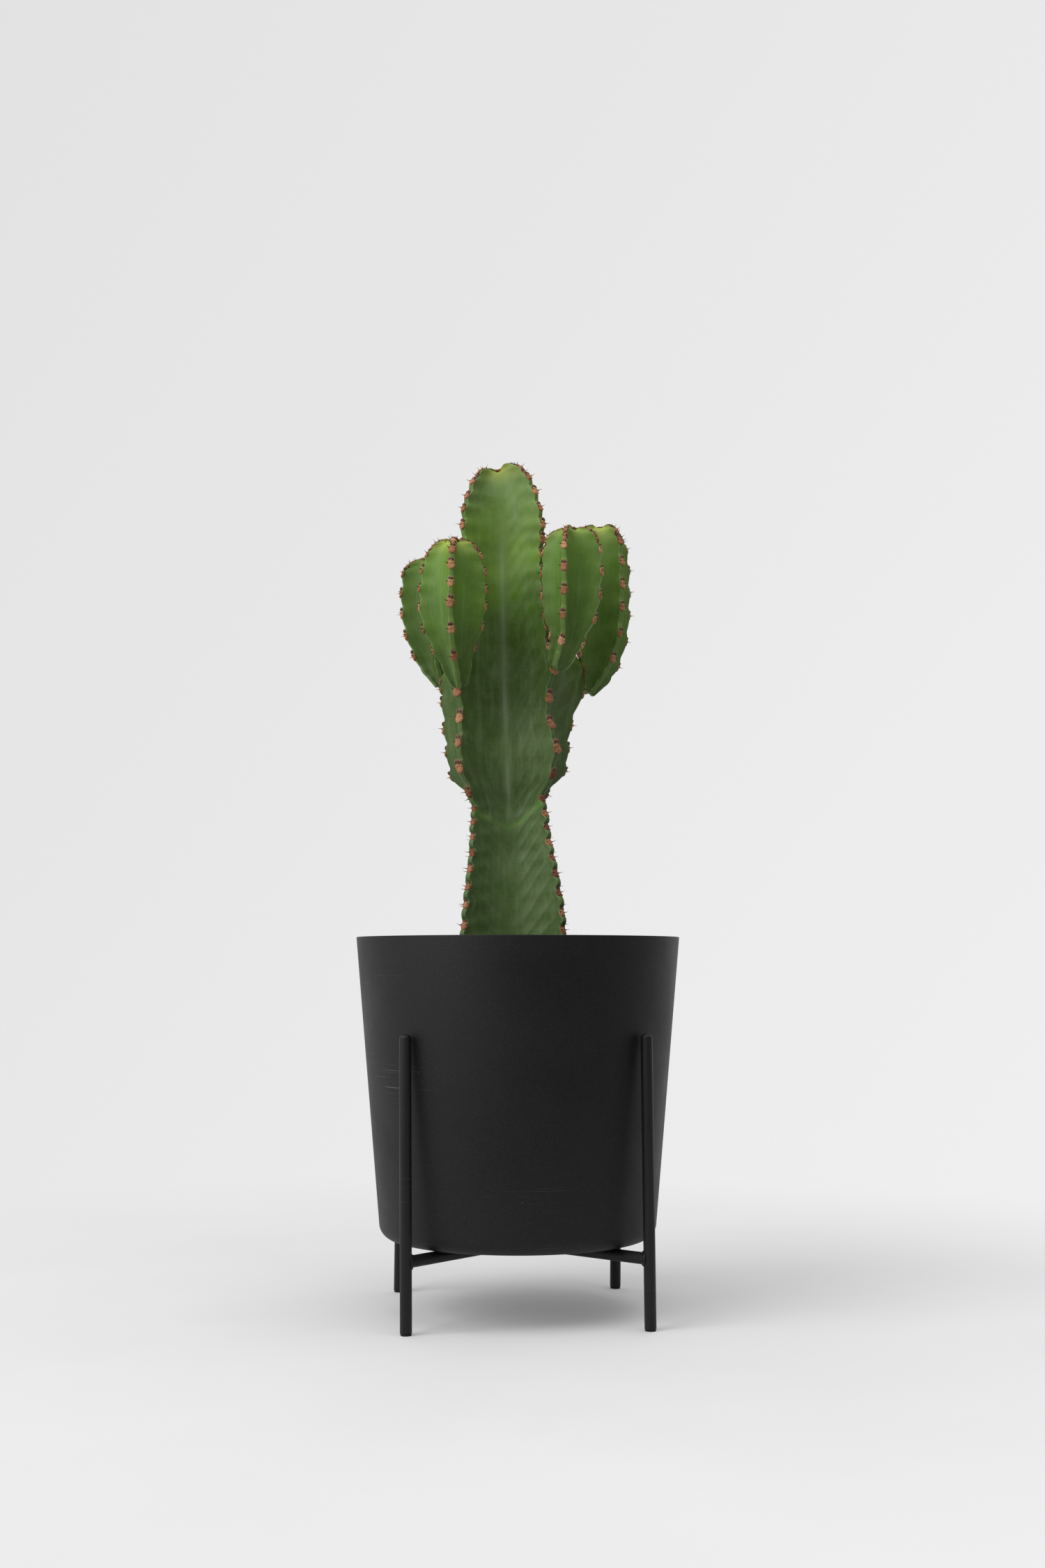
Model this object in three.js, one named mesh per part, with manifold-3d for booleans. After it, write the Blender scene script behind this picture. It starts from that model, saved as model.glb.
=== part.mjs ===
// Four-ribbed euphorbia with four branches, planted in a tapered black steel planter
// that stands in a welded round-rod stand. Millimetres, +Z up, origin on the floor
// under the planter's axis. The broad front face of the plant looks toward -Y.
import * as THREE from 'three';
import Module from 'manifold-3d';

const wasm = await Module();
wasm.setup();

// Planter: spun steel shell with a plain rim, straight tapered wall, rounded bottom edge.
const RIM_RADIUS = 173;
const RIM_HEIGHT = 392;
const POT_UNDERSIDE = 76.8;
const FOOT_RADIUS = 145.2;
const EDGE_ROUND = 15;
const WALL = 2;
const POT_SEGMENTS = 72;

// Potting soil: a heap filling the planter up to a hand's width below the rim.
const SOIL_LEVEL = 356;
const SOIL_SWELL = 4;
const SOIL_RINGS = 7;
const SOIL_SEGMENTS = 36;

// Stand: 12 mm rod legs outside the pot, two crossed bars under it, a thin glide per foot.
const ROD_RADIUS = 6;
const LEG_CIRCLE = 171.9;
const LEG_TOP = 293.5;
const STAND_TURN = 5.4;
const LEG_TWIST = -1.2;
const BAR_HEIGHT = 70.2;
const GLIDE_RADIUS = 5.5;
const GLIDE_THICK = 1.5;
const ROD_SEGMENTS = 20;

// Clear gap between neighbouring pieces.
const GAP = 0.3;
// Edges shorter than this left by a cut are closed up.
const SLIVER = 0.15;

// Ribbed stems: half width of a rib's crest and depth of the valley between two ribs.
const CREST_HALF = 3.4;
const VALLEY_SHARE = 0.45;
const DOME_LAG = 0.12;

// Main stem. One row per whorl of spine pads, from the buried end to the growing tip:
// height of the pads on the left and back ribs, height on the front right rib, then the
// reach of the front left, front right, back right and back left rib from the axis.
const MAIN_TURNS = [-43, 43, 126, -126];
const MAIN_ROWS = [
  [305, 308, 42, 42, 40, 40],
  [325, 330, 66, 66, 58, 58],
  [345, 353, 74, 75, 63, 63],
  [365, 376, 79, 79, 66, 66],
  [385, 398, 78, 77, 66, 66],
  [405, 416, 75, 76, 66, 66],
  [427, 437, 72, 72, 64, 64],
  [446, 457, 68, 68, 61, 61],
  [465, 474, 64, 64, 57, 57],
  [482, 490, 60, 60, 54, 54],
  [499, 507, 59, 57, 50, 51],
  [515, 521, 57, 56, 46, 48],
  [530, 538, 55, 53, 44, 46],
  [547, 562, 62, 70, 50, 52],
  [573, 589, 74, 78, 77, 76],
  [600, 617, 74, 70, 83, 81],
  [626, 645, 71, 69, 88, 84],
  [656, 677, 73, 78, 105, 86],
  [680, 699, 71, 72, 111, 87],
  [704, 721, 69, 69, 84, 79],
  [727, 743, 67, 68, 74, 72],
  [749, 764, 65, 66, 69, 67],
  [771, 782, 64, 65, 65, 63],
  [792, 800, 62, 64, 61, 59],
  [814, 817, 61, 65, 58, 54],
  [835, 833, 60, 66, 54, 50],
  [854, 852, 58, 62, 51, 47],
  [870, 870, 51, 56, 46, 43],
  [887, 888, 41, 47, 38, 36],
  [901, 902, 27, 34, 26, 24],
  [904, 909, 14, 18, 14, 13],
  [902, 904, 5, 6, 6, 5],
];
const MAIN_AXIS = [[300, -4, 0], [405, -5, 0], [515, -8.5, 0], [600, -12.5, 0], [750, -16.5, 0],
  [854, -19, 0], [910, -22, 0]];
// Scallop of the rib edge between pads: bulging below the waist, slightly hollow above it.
const MAIN_WAIST = 12;
const LOBE_BULGE = 2.5;
const LOBE_HOLLOW = -1.8;

// Branches. Rows hold height and reach of the ribs; the axis holds height, x and y.
const BRANCHES = [
  {
    name: 'branch_front_left',
    turn: -2,
    rows: [[656, 5], [661, 9.5], [674, 15], [692, 22], [713, 31], [735, 34.5], [754, 34.5],
      [773, 32.5], [790, 27.5], [801, 19], [805, 10], [803, 4]],
    axis: [[644, -61.5, -51.5], [660, -62.5, -61.5], [675, -64.5, -73.8], [692, -66.5, -85],
      [713, -67.5, -91], [740, -68, -93], [815, -66, -93]],
  },
  {
    name: 'branch_front_right',
    turn: -16,
    rows: [[674, 5], [679, 10.5], [689, 14], [704, 18], [727, 27.5], [751, 31.5], [775, 32.5],
      [798, 31], [814, 25], [821, 14], [819, 4]],
    axis: [[658, 36.5, -54], [672, 41, -61.2], [688, 46.8, -67.8], [705, 52, -73.5], [725, 54.5, -76],
      [750, 56.5, -77], [830, 57, -77]],
  },
  {
    name: 'branch_back_right',
    turn: 35,
    rows: [[668, 8], [677, 13], [688, 20], [706, 28], [733, 36], [762, 39.5], [788, 40],
      [814, 39.5], [838, 36], [852, 28], [859, 15], [856, 5]],
    axis: [[660, 80.4, 68.2], [674, 85.2, 71], [688, 88.8, 72.3], [710, 91.5, 73.3], [732, 93.5, 74],
      [762, 94, 75], [865, 94, 75]],
  },
  {
    name: 'branch_back_left',
    turn: 11,
    rows: [[674, 7], [683, 11], [693, 16], [709, 23.5], [732, 32], [756, 36.5], [780, 37.5],
      [803, 35], [814, 27], [820, 14], [817, 5]],
    axis: [[664, -86, 54.6], [680, -90, 58.6], [700, -94, 62], [732, -95, 64], [780, -95, 65],
      [830, -95, 65]],
  },
];
const BRANCH_BULGE = 1.2;

const object = new THREE.Group();
object.name = 'potted_euphorbia';

function radians(degrees) {
  return (degrees * Math.PI) / 180;
}

// Smooth curve through rows of numbers, read at a fractional row.
function readRow(rows, at) {
  const last = rows.length - 1;
  const i = Math.min(Math.floor(at), last - 1);
  const f = at - i;
  const before = rows[Math.max(i - 1, 0)];
  const from = rows[i];
  const to = rows[i + 1];
  const after = rows[Math.min(i + 2, last)];
  return from.map((value, c) => {
    const slopeIn = (to[c] - before[c]) / 2;
    const slopeOut = (after[c] - value) / 2;
    const rise = to[c] - value;
    return value + f * (slopeIn + f * (3 * rise - 2 * slopeIn - slopeOut
      + f * (slopeIn + slopeOut - 2 * rise)));
  });
}

// Point and direction of a stem's axis at a height.
function readAxis(axis, height) {
  let i = 0;
  while (i < axis.length - 2 && axis[i + 1][0] < height) {
    i += 1;
  }
  const f = (height - axis[i][0]) / (axis[i + 1][0] - axis[i][0]);
  const [, x, y] = readRow(axis, i + Math.min(Math.max(f, 0), 1));
  return new THREE.Vector3(x, y, height);
}

function axisFrame(axis, height) {
  const centre = readAxis(axis, height);
  const along = readAxis(axis, height + 4).sub(readAxis(axis, height - 4)).normalize();
  return { centre, along };
}

// A point beside the axis: turned about it, reaching out from it and moved sideways.
function besideAxis(axis, height, turn, reach, sideways) {
  const { centre, along } = axisFrame(axis, height);
  const outward = new THREE.Vector3(Math.sin(turn), -Math.cos(turn), 0);
  outward.addScaledVector(along, -outward.dot(along)).normalize();
  const side = new THREE.Vector3().crossVectors(along, outward);
  return centre.addScaledVector(outward, reach).addScaledVector(side, sideways);
}

// Closed body from rings of points: fan, quad bands, fan.
function bodyFromRings(rings, startPoint, endPoint) {
  const count = rings[0].length;
  const points = [startPoint, ...rings.flat(), endPoint];
  const faces = [];
  for (let k = 0; k < count; k += 1) {
    const next = (k + 1) % count;
    faces.push(0, 1 + next, 1 + k);
    for (let r = 0; r < rings.length - 1; r += 1) {
      const a = 1 + r * count;
      const b = a + count;
      faces.push(a + k, a + next, b + next, a + k, b + next, b + k);
    }
    const top = 1 + (rings.length - 1) * count;
    faces.push(points.length - 1, top + k, top + next);
  }
  const geometry = new THREE.BufferGeometry();
  geometry.setAttribute('position', new THREE.Float32BufferAttribute(
    points.flatMap((p) => [p.x, p.y, p.z]), 3));
  geometry.setIndex(faces);
  return geometry;
}

// Ribbed stem: every ring runs rib crest, flank, valley, flank to the next rib.
// A grown copy, fatter all round, is what neighbours are cut with.
function ribbedStem(axis, turns, ribAt, rowCount, perRow, grow) {
  const rings = [];
  const widest = Math.max(...turns.map((turn, k) => ribAt(rowCount - 5, k)[1]));
  for (let step = 0; step <= (rowCount - 1) * perRow; step += 1) {
    const at = step / perRow;
    const ring = [];
    turns.forEach((turnDegrees, k) => {
      const nextRib = (k + 1) % turns.length;
      const turn = radians(turnDegrees);
      const [height, bareReach] = ribAt(at, k);
      const [nextHeight, nextBareReach] = ribAt(at, nextRib);
      const reach = bareReach + grow;
      const nextReach = nextBareReach + grow;
      let span = radians(turns[nextRib]) - turn;
      if (span < 0) {
        span += 2 * Math.PI;
      }
      const half = Math.min(CREST_HALF, reach * 0.3) + grow;
      const nextHalf = Math.min(CREST_HALF, nextReach * 0.3) + grow;
      const low = ((reach + nextReach) / 2) * VALLEY_SHARE + grow;
      const lag = at > rowCount - 6 ? Math.max(0, widest - reach) * DOME_LAG : 0;
      const valleyHeight = (height + nextHeight) / 2 - lag;
      const valleyTurn = turn + span / 2;
      ring.push(besideAxis(axis, height, turn, reach, 0));
      ring.push(besideAxis(axis, height, turn, reach - half * 0.6, half));
      const wide = half * 1.7 + reach * 0.03;
      ring.push(besideAxis(axis, height * 0.7 + valleyHeight * 0.3, turn,
        reach - (reach - low) * 0.4, wide));
      ring.push(besideAxis(axis, height * 0.3 + valleyHeight * 0.7, turn + span * 0.2,
        low * 1.22, 0));
      ring.push(besideAxis(axis, valleyHeight, valleyTurn, low, 0));
      ring.push(besideAxis(axis, nextHeight * 0.3 + valleyHeight * 0.7, turn + span * 0.8,
        low * 1.22, 0));
      const nextTurn = turn + span;
      const nextWide = nextHalf * 1.7 + nextReach * 0.03;
      ring.push(besideAxis(axis, nextHeight * 0.7 + valleyHeight * 0.3, nextTurn,
        nextReach - (nextReach - low) * 0.4, -nextWide));
      ring.push(besideAxis(axis, nextHeight, nextTurn, nextReach - nextHalf * 0.6, -nextHalf));
    });
    rings.push(ring);
  }
  const start = readAxis(axis, ribAt(0, 0)[0]);
  const tip = readAxis(axis, ribAt(rowCount - 1, 0)[0] - 2);
  return bodyFromRings(rings, start, tip);
}

// Swell of the rib edge part way between two pads.
function scallop(at, amount) {
  return amount * Math.sin(Math.PI * (at - Math.floor(at)));
}

function solidOf(geometry) {
  const mesh = new wasm.Mesh({
    numProp: 3,
    vertProperties: new Float32Array(geometry.attributes.position.array),
    triVerts: new Uint32Array(geometry.index.array),
  });
  mesh.merge();
  return new wasm.Manifold(mesh);
}

function geometryOf(solid) {
  const mesh = solid.getMesh();
  const geometry = new THREE.BufferGeometry();
  const positions = [];
  for (let v = 0; v < mesh.numVert; v += 1) {
    positions.push(...mesh.vertProperties.slice(v * mesh.numProp, v * mesh.numProp + 3));
  }
  geometry.setAttribute('position', new THREE.Float32BufferAttribute(positions, 3));
  geometry.setIndex(Array.from(mesh.triVerts));
  return geometry;
}

// The largest connected body of a cut solid, cleared of slivers.
function largestBody(solid) {
  const bodies = solid.simplify(SLIVER).decompose();
  return bodies.reduce((a, b) => (a.volume() > b.volume() ? a : b));
}

function addPiece(name, geometry, colour, roughness, metalness) {
  const flat = geometry.index ? geometry.toNonIndexed() : geometry;
  flat.computeVertexNormals();
  const material = new THREE.MeshStandardMaterial({ color: colour, roughness, metalness });
  const mesh = new THREE.Mesh(flat, material);
  mesh.name = name;
  object.add(mesh);
}

// Planter shell, closed profile from the outer bottom round to the inner bottom.
function potProfile() {
  const slope = (RIM_RADIUS - FOOT_RADIUS) / (RIM_HEIGHT - POT_UNDERSIDE);
  const lean = Math.atan(slope);
  const points = [new THREE.Vector2(0, POT_UNDERSIDE)];
  const roundSteps = 5;
  const arcEnd = Math.PI / 2 - lean;
  const centreHeight = POT_UNDERSIDE + EDGE_ROUND;
  const wallAtCentre = FOOT_RADIUS + slope * EDGE_ROUND;
  const centreRadius = wallAtCentre - EDGE_ROUND / Math.cos(lean);
  for (let i = 0; i <= roundSteps; i += 1) {
    const a = (arcEnd * i) / roundSteps;
    points.push(new THREE.Vector2(centreRadius + EDGE_ROUND * Math.sin(a),
      centreHeight - EDGE_ROUND * Math.cos(a)));
  }
  points.push(new THREE.Vector2(RIM_RADIUS, RIM_HEIGHT));
  points.push(new THREE.Vector2(RIM_RADIUS - WALL, RIM_HEIGHT));
  for (let i = roundSteps; i >= 0; i -= 1) {
    const a = (arcEnd * i) / roundSteps;
    points.push(new THREE.Vector2(centreRadius + (EDGE_ROUND - WALL) * Math.sin(a),
      centreHeight - (EDGE_ROUND - WALL) * Math.cos(a)));
  }
  points.push(new THREE.Vector2(0, POT_UNDERSIDE + WALL));
  return points;
}

// LatheGeometry turns about Y; stand it up so the turning axis is Z.
function turned(profile, segments) {
  const geometry = new THREE.LatheGeometry(profile, segments);
  geometry.rotateX(Math.PI / 2);
  return geometry;
}

// Gentle unevenness of the soil surface, higher round the stem.
function soilHeight(radius, angle) {
  const heap = SOIL_SWELL * Math.exp(-((radius / 95) ** 2));
  const waves = 1.3 * Math.sin(3 * angle + radius / 21) + 0.9 * Math.cos(5 * angle - radius / 17);
  return SOIL_LEVEL + heap + waves * Math.min(1, radius / 40);
}

// Soil body: bottom follows the planter's inner bottom edge, top is the uneven surface.
function soilGeometry() {
  const rings = [];
  const slope = (RIM_RADIUS - FOOT_RADIUS) / (RIM_HEIGHT - POT_UNDERSIDE);
  const bottom = POT_UNDERSIDE + WALL + GAP;
  const innerRadius = (height) => FOOT_RADIUS + slope * (height - POT_UNDERSIDE) - WALL - GAP - 0.4;
  const ringOf = (radius, heightOf) => {
    const ring = [];
    for (let k = 0; k < SOIL_SEGMENTS; k += 1) {
      const angle = (2 * Math.PI * k) / SOIL_SEGMENTS;
      ring.push(new THREE.Vector3(radius * Math.cos(angle), radius * Math.sin(angle),
        heightOf(radius, angle)));
    }
    return ring;
  };
  rings.push(ringOf(FOOT_RADIUS - EDGE_ROUND - 2, () => bottom));
  rings.push(ringOf(innerRadius(bottom + EDGE_ROUND) - 1, () => bottom + EDGE_ROUND));
  for (let r = SOIL_RINGS; r >= 1; r -= 1) {
    const radius = r === SOIL_RINGS ? innerRadius(SOIL_LEVEL - 3)
      : (innerRadius(SOIL_LEVEL) * r) / SOIL_RINGS;
    rings.push(ringOf(radius, soilHeight));
  }
  return bodyFromRings(rings, new THREE.Vector3(0, 0, bottom),
    new THREE.Vector3(0, 0, SOIL_LEVEL + SOIL_SWELL));
}

// Round rod with domed top, standing from one point to another.
function legGeometry(foot, head) {
  const length = foot.distanceTo(head);
  const profile = [new THREE.Vector2(0, 0), new THREE.Vector2(ROD_RADIUS - 0.6, 0),
    new THREE.Vector2(ROD_RADIUS, 0.6)];
  const domeSteps = 4;
  for (let i = 0; i <= domeSteps; i += 1) {
    const a = (Math.PI / 2) * (i / domeSteps);
    profile.push(new THREE.Vector2(i === domeSteps ? 0 : ROD_RADIUS * Math.cos(a),
      length - ROD_RADIUS * 0.8 * (1 - Math.sin(a))));
  }
  const geometry = turned(profile, ROD_SEGMENTS);
  const lean = new THREE.Quaternion().setFromUnitVectors(new THREE.Vector3(0, 0, 1),
    head.clone().sub(foot).normalize());
  geometry.applyQuaternion(lean);
  geometry.translate(foot.x, foot.y, foot.z);
  return geometry;
}

function onCircle(degrees, radius, height) {
  return new THREE.Vector3(radius * Math.cos(radians(degrees)),
    radius * Math.sin(radians(degrees)), height);
}

// Straight rod between two points as a solid, for coping against its neighbours.
function rodSolid(from, to, radius) {
  const length = from.distanceTo(to);
  const geometry = turned([new THREE.Vector2(0, 0), new THREE.Vector2(radius, 0),
    new THREE.Vector2(radius, length), new THREE.Vector2(0, length)], ROD_SEGMENTS);
  const lean = new THREE.Quaternion().setFromUnitVectors(new THREE.Vector3(0, 0, 1),
    to.clone().sub(from).normalize());
  geometry.applyQuaternion(lean);
  geometry.translate(from.x, from.y, from.z);
  return solidOf(geometry);
}

// Plant.
function mainRib(at, rib) {
  const row = readRow(MAIN_ROWS, at);
  const height = rib === 1 ? row[1] : row[0];
  const bulge = at < MAIN_WAIST ? LOBE_BULGE : LOBE_HOLLOW;
  const fade = at > MAIN_ROWS.length - 4 || at < 2 ? 0 : 1;
  return [height, row[2 + rib] + scallop(at, bulge) * fade];
}

addPiece('main_stem', ribbedStem(MAIN_AXIS, MAIN_TURNS, mainRib, MAIN_ROWS.length, 2, 0),
  0x4f6a3a, 0.62, 0);
const stemCutter = solidOf(
  ribbedStem(MAIN_AXIS, MAIN_TURNS, mainRib, MAIN_ROWS.length, 2, GAP * 1.3));

BRANCHES.forEach((branch) => {
  const turns = [0, 1, 2, 3].map((k) => branch.turn + 90 * k);
  const ribAt = (at) => {
    const [height, reach] = readRow(branch.rows, at);
    const fade = at > branch.rows.length - 3 || at < 2 ? 0 : 1;
    return [height, reach + scallop(at, BRANCH_BULGE) * fade];
  };
  addPiece(branch.name, ribbedStem(branch.axis, turns, ribAt, branch.rows.length, 2, 0),
    0x55743c, 0.6, 0);
});

// Soil, hollowed where the stem goes down into it.
const soilSolid = largestBody(solidOf(soilGeometry()).subtract(stemCutter));
addPiece('potting_soil', geometryOf(soilSolid), 0x2b211a, 0.95, 0);

// Planter.
addPiece('planter_pot', turned(potProfile(), POT_SEGMENTS), 0x1d1e20, 0.5, 0.2);

// Stand.
const CORNERS = [
  { name: 'front_left', at: -135 },
  { name: 'front_right', at: -45 },
  { name: 'back_right', at: 45 },
  { name: 'back_left', at: 135 },
];
CORNERS.forEach(({ name, at }) => {
  const foot = onCircle(at + STAND_TURN, LEG_CIRCLE, GLIDE_THICK + GAP);
  const head = onCircle(at + STAND_TURN + LEG_TWIST, LEG_CIRCLE, LEG_TOP);
  addPiece(`leg_${name}`, legGeometry(foot, head), 0x1c1d1e, 0.5, 0.2);
  const glide = new THREE.CylinderGeometry(GLIDE_RADIUS, GLIDE_RADIUS, GLIDE_THICK, ROD_SEGMENTS);
  glide.rotateX(Math.PI / 2);
  glide.translate(foot.x, foot.y, GLIDE_THICK / 2);
  addPiece(`foot_glide_${name}`, glide, 0x101010, 0.8, 0);
});

// Crossed bars: one runs right through, the other is two halves butted against it.
const BAR_TURN = STAND_TURN + LEG_TWIST * (BAR_HEIGHT / LEG_TOP);
const legCutters = CORNERS.map(({ at }) => rodSolid(
  onCircle(at + STAND_TURN, LEG_CIRCLE, 0),
  onCircle(at + STAND_TURN + LEG_TWIST, LEG_CIRCLE, LEG_TOP), ROD_RADIUS + GAP));
function barBetween(fromTurn, fromRadius, toTurn, toRadius) {
  return rodSolid(onCircle(fromTurn, fromRadius, BAR_HEIGHT),
    onCircle(toTurn, toRadius, BAR_HEIGHT), ROD_RADIUS);
}
function coped(bar) {
  return largestBody(legCutters.reduce((left, leg) => left.subtract(leg), bar));
}
const longBar = barBetween(-135 + BAR_TURN, LEG_CIRCLE, 45 + BAR_TURN, LEG_CIRCLE);
addPiece('cross_bar_long', geometryOf(coped(longBar)), 0x1c1d1e, 0.5, 0.2);
[['cross_bar_half_front', -45], ['cross_bar_half_back', 135]].forEach(([name, at]) => {
  const half = barBetween(at + BAR_TURN, 0, at + BAR_TURN, LEG_CIRCLE);
  const core = rodSolid(onCircle(-135 + BAR_TURN, LEG_CIRCLE, BAR_HEIGHT),
    onCircle(45 + BAR_TURN, LEG_CIRCLE, BAR_HEIGHT), ROD_RADIUS + GAP);
  addPiece(name, geometryOf(largestBody(coped(half).subtract(core))), 0x1c1d1e, 0.5, 0.2);
});

export default object;
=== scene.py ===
import math
from functools import partial

import bpy
import numpy as np
from mathutils import Matrix, Vector
from mathutils.bvhtree import BVHTree


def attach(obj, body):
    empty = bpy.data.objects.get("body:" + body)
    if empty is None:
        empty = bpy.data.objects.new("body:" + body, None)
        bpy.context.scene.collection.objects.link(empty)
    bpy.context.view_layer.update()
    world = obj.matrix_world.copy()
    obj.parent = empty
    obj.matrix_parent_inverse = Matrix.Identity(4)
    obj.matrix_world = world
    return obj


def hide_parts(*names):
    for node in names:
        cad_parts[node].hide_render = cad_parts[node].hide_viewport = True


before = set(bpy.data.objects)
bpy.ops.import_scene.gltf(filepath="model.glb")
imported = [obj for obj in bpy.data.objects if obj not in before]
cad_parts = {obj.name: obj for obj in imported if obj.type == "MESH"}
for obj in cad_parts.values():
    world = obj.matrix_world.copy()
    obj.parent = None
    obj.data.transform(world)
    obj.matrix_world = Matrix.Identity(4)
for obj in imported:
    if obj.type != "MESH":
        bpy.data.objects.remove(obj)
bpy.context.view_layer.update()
bpy.ops.object.select_all(action="DESELECT")


# ---------------------------------------------------------------- camera
# A normal lens at half the height of the piece, two metres off, tipped up a little.
CAMERA_PLACE = (0.005, -1.976, 0.363)
CAMERA_TILT = 5.63
CAMERA_LENS = 42.03

bpy.ops.object.camera_add(
    location=CAMERA_PLACE, rotation=(math.radians(90 + CAMERA_TILT), 0, 0)
)
camera = bpy.context.object
camera.data.lens = CAMERA_LENS
camera.data.sensor_width = 36
camera.data.clip_end = 60
bpy.context.scene.camera = camera


# ---------------------------------------------------------------- stand legs
# Four lengths of 12 mm round steel bar, sawn off and ground round at the top, standing
# outside the planter. The frame was welded slightly twisted. Powder coated satin black.
ROD = 0.006
LEG_CIRCLE = 0.1719
LEG_TOP = 0.2935
LEG_FOOT = 0.0018
STAND_TURN = 5.4
LEG_TWIST = -1.2
LEG_ROUND = 0.0042
LEG_EDGE = 0.0005
CREASE = math.radians(40)
CORNERS = {"front_left": -135, "front_right": -45, "back_right": 45, "back_left": 135}


def linear(hex_value):
    """sRGB hex to linear RGBA."""
    parts = [int(hex_value[i : i + 2], 16) / 255 for i in (0, 2, 4)]
    rgb = [c / 12.92 if c <= 0.04045 else ((c + 0.055) / 1.055) ** 2.4 for c in parts]
    return (*rgb, 1.0)


def fill_sockets(node, sockets):
    """Set a node's sockets; a value that is a node or a socket is linked."""
    for key, value in sockets.items():
        if isinstance(value, bpy.types.Node):
            value = value.outputs[0]
        if isinstance(value, bpy.types.NodeSocket):
            node.id_data.links.new(value, node.inputs[key])
        else:
            node.inputs[key].default_value = value


def add_node(tree, kind, sockets=None, stops=(), **settings):
    """Add a shader node with its settings, its sockets and the stops of its colour ramp."""
    node = tree.nodes.new("ShaderNode" + kind)
    for key, value in settings.items():
        setattr(node, key, value)
    fill_sockets(node, sockets or {})
    if stops:
        ramp = node.color_ramp.elements
        while len(ramp) < len(stops):
            ramp.new(0.5)
        for element, (place, colour) in zip(ramp, stops):
            element.position = place
            element.color = colour
    return node


def new_material(name, **shader):
    """An empty material with one Principled shader; returns it, its tree and the shader."""
    material = bpy.data.materials.new(name)
    material.use_nodes = True
    tree = material.node_tree
    tree.nodes.clear()
    surface = add_node(tree, "BsdfPrincipled", shader)
    add_node(tree, "OutputMaterial", {"Surface": surface})
    return material, tree, surface


BLACK = (0, 0, 0, 1)
WHITE = (1, 1, 1, 1)


def every(millimetres):
    """Scale of a pattern that repeats about once in so many millimetres."""
    return 1000 / millimetres


def powder_coat(name, colour, worn, roughness, grain_mm, scuffs):
    """Polyester powder baked on steel: matte, with a fine even grain and dry rub marks."""
    material, tree, surface = new_material(
        name, Roughness=roughness, IOR=1.5, **{"Specular IOR Level": 0.32})
    node = partial(add_node, tree)
    place = node("TexCoord").outputs["Object"]
    # grain of the baked powder
    grain = node("TexNoise", {"Vector": place, "Scale": every(grain_mm), "Detail": 3,
                              "Roughness": 0.6})
    # cloudy handling marks, tens of millimetres across
    cloud = node("TexNoise", {"Vector": place, "Scale": every(70), "Detail": 5,
                              "Roughness": 0.62})
    cloud_mask = node("ValToRGB", {"Fac": cloud}, stops=[(0.35, BLACK), (0.75, WHITE)])
    # thin level rub lines, made by stretching a noise flat
    flat = node("Mapping", {"Vector": place, "Scale": (every(160), every(160), every(1.1))})
    rub = node("TexNoise", {"Vector": flat, "Scale": 1, "Detail": 4, "Roughness": 0.7})
    rub_line = node("ValToRGB", {"Fac": rub}, stops=[(0.63, BLACK), (0.72, WHITE)])
    # specks of dust and tiny chips; both kinds of mark come in patches
    speck = node("TexVoronoi", {"Vector": place, "Scale": every(13)})
    speck_dot = node("ValToRGB", {"Fac": speck}, stops=[(0.03, WHITE), (0.055, BLACK)])
    patch = node("TexNoise", {"Vector": place, "Scale": every(90), "Detail": 3,
                              "Distortion": 0.6})
    patch_mask = node("ValToRGB", {"Fac": patch}, stops=[(0.53, BLACK), (0.68, WHITE)])
    rubbed = node("Math", {0: rub_line, 1: patch_mask}, operation="MULTIPLY")
    dusty = node("Math", {0: speck_dot, 1: patch_mask}, operation="MULTIPLY")
    marks = node("Math", {0: rubbed, 1: dusty}, operation="MAXIMUM")
    thin_marks = node("Math", {0: marks, 1: scuffs}, operation="MULTIPLY")
    # painted highlight: the raised grains of powder are lightened, where light would catch them
    raised = node("MapRange", {"Value": grain, "From Min": 0.5, "From Max": 0.72, "To Max": 0.3})
    coat = linear(colour)
    for share, tone in ((cloud_mask, worn), (thin_marks, "8a8a88"), (raised, "3a3a3c")):
        coat = node("Mix", {"Factor": share, 6: coat, 7: linear(tone)},
                    data_type="RGBA").outputs[2]
    rough = node("MapRange", {"Value": cloud, "From Min": 0.3, "From Max": 0.7,
                              "To Min": roughness - 0.05, "To Max": roughness + 0.07})
    bump = node("Bump", {"Strength": 0.5, "Distance": 0.0004, "Height": grain})
    fill_sockets(surface, {"Base Color": coat, "Roughness": rough, "Normal": bump})
    return material


stand_coat = powder_coat("satin_powder_coat_on_bar", "0b0b0c", "111112", 0.46, 0.7, 0.25)


def finish_piece(piece, name, material, slot, *nodes):
    """Name a piece, give it its material and tie it to the CAD frame."""
    piece.name = name
    piece.data.name = name
    piece.data.materials.clear()
    piece.data.materials.append(material)
    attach(piece, "root")
    if nodes:
        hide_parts(*nodes)
    piece.select_set(False)
    return piece


def apply_place():
    """Set the active piece's place, turn and scale into its mesh."""
    bpy.ops.object.transform_apply(location=True, rotation=True, scale=True)


def pick(piece, domain, test):
    """Select the edges or faces whose place passes a test, then enter edit mode."""
    bpy.ops.object.mode_set(mode="OBJECT")
    mesh = piece.data
    for group in (mesh.vertices, mesh.edges, mesh.polygons):
        group.foreach_set("select", [False] * len(group))
    if domain == "FACE":
        for face in mesh.polygons:
            face.select = test(face.center, face.normal)
    else:
        for edge in mesh.edges:
            a, b = (mesh.vertices[i].co for i in edge.vertices)
            edge.select = test(a, b)
    bpy.ops.object.mode_set(mode="EDIT")
    bpy.ops.mesh.select_mode(type=domain)


def on_circle(degrees, radius, height):
    """Point at an angle on a level circle about the planter's axis."""
    turn = math.radians(degrees)
    return Vector((radius * math.cos(turn), radius * math.sin(turn), height))


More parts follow.
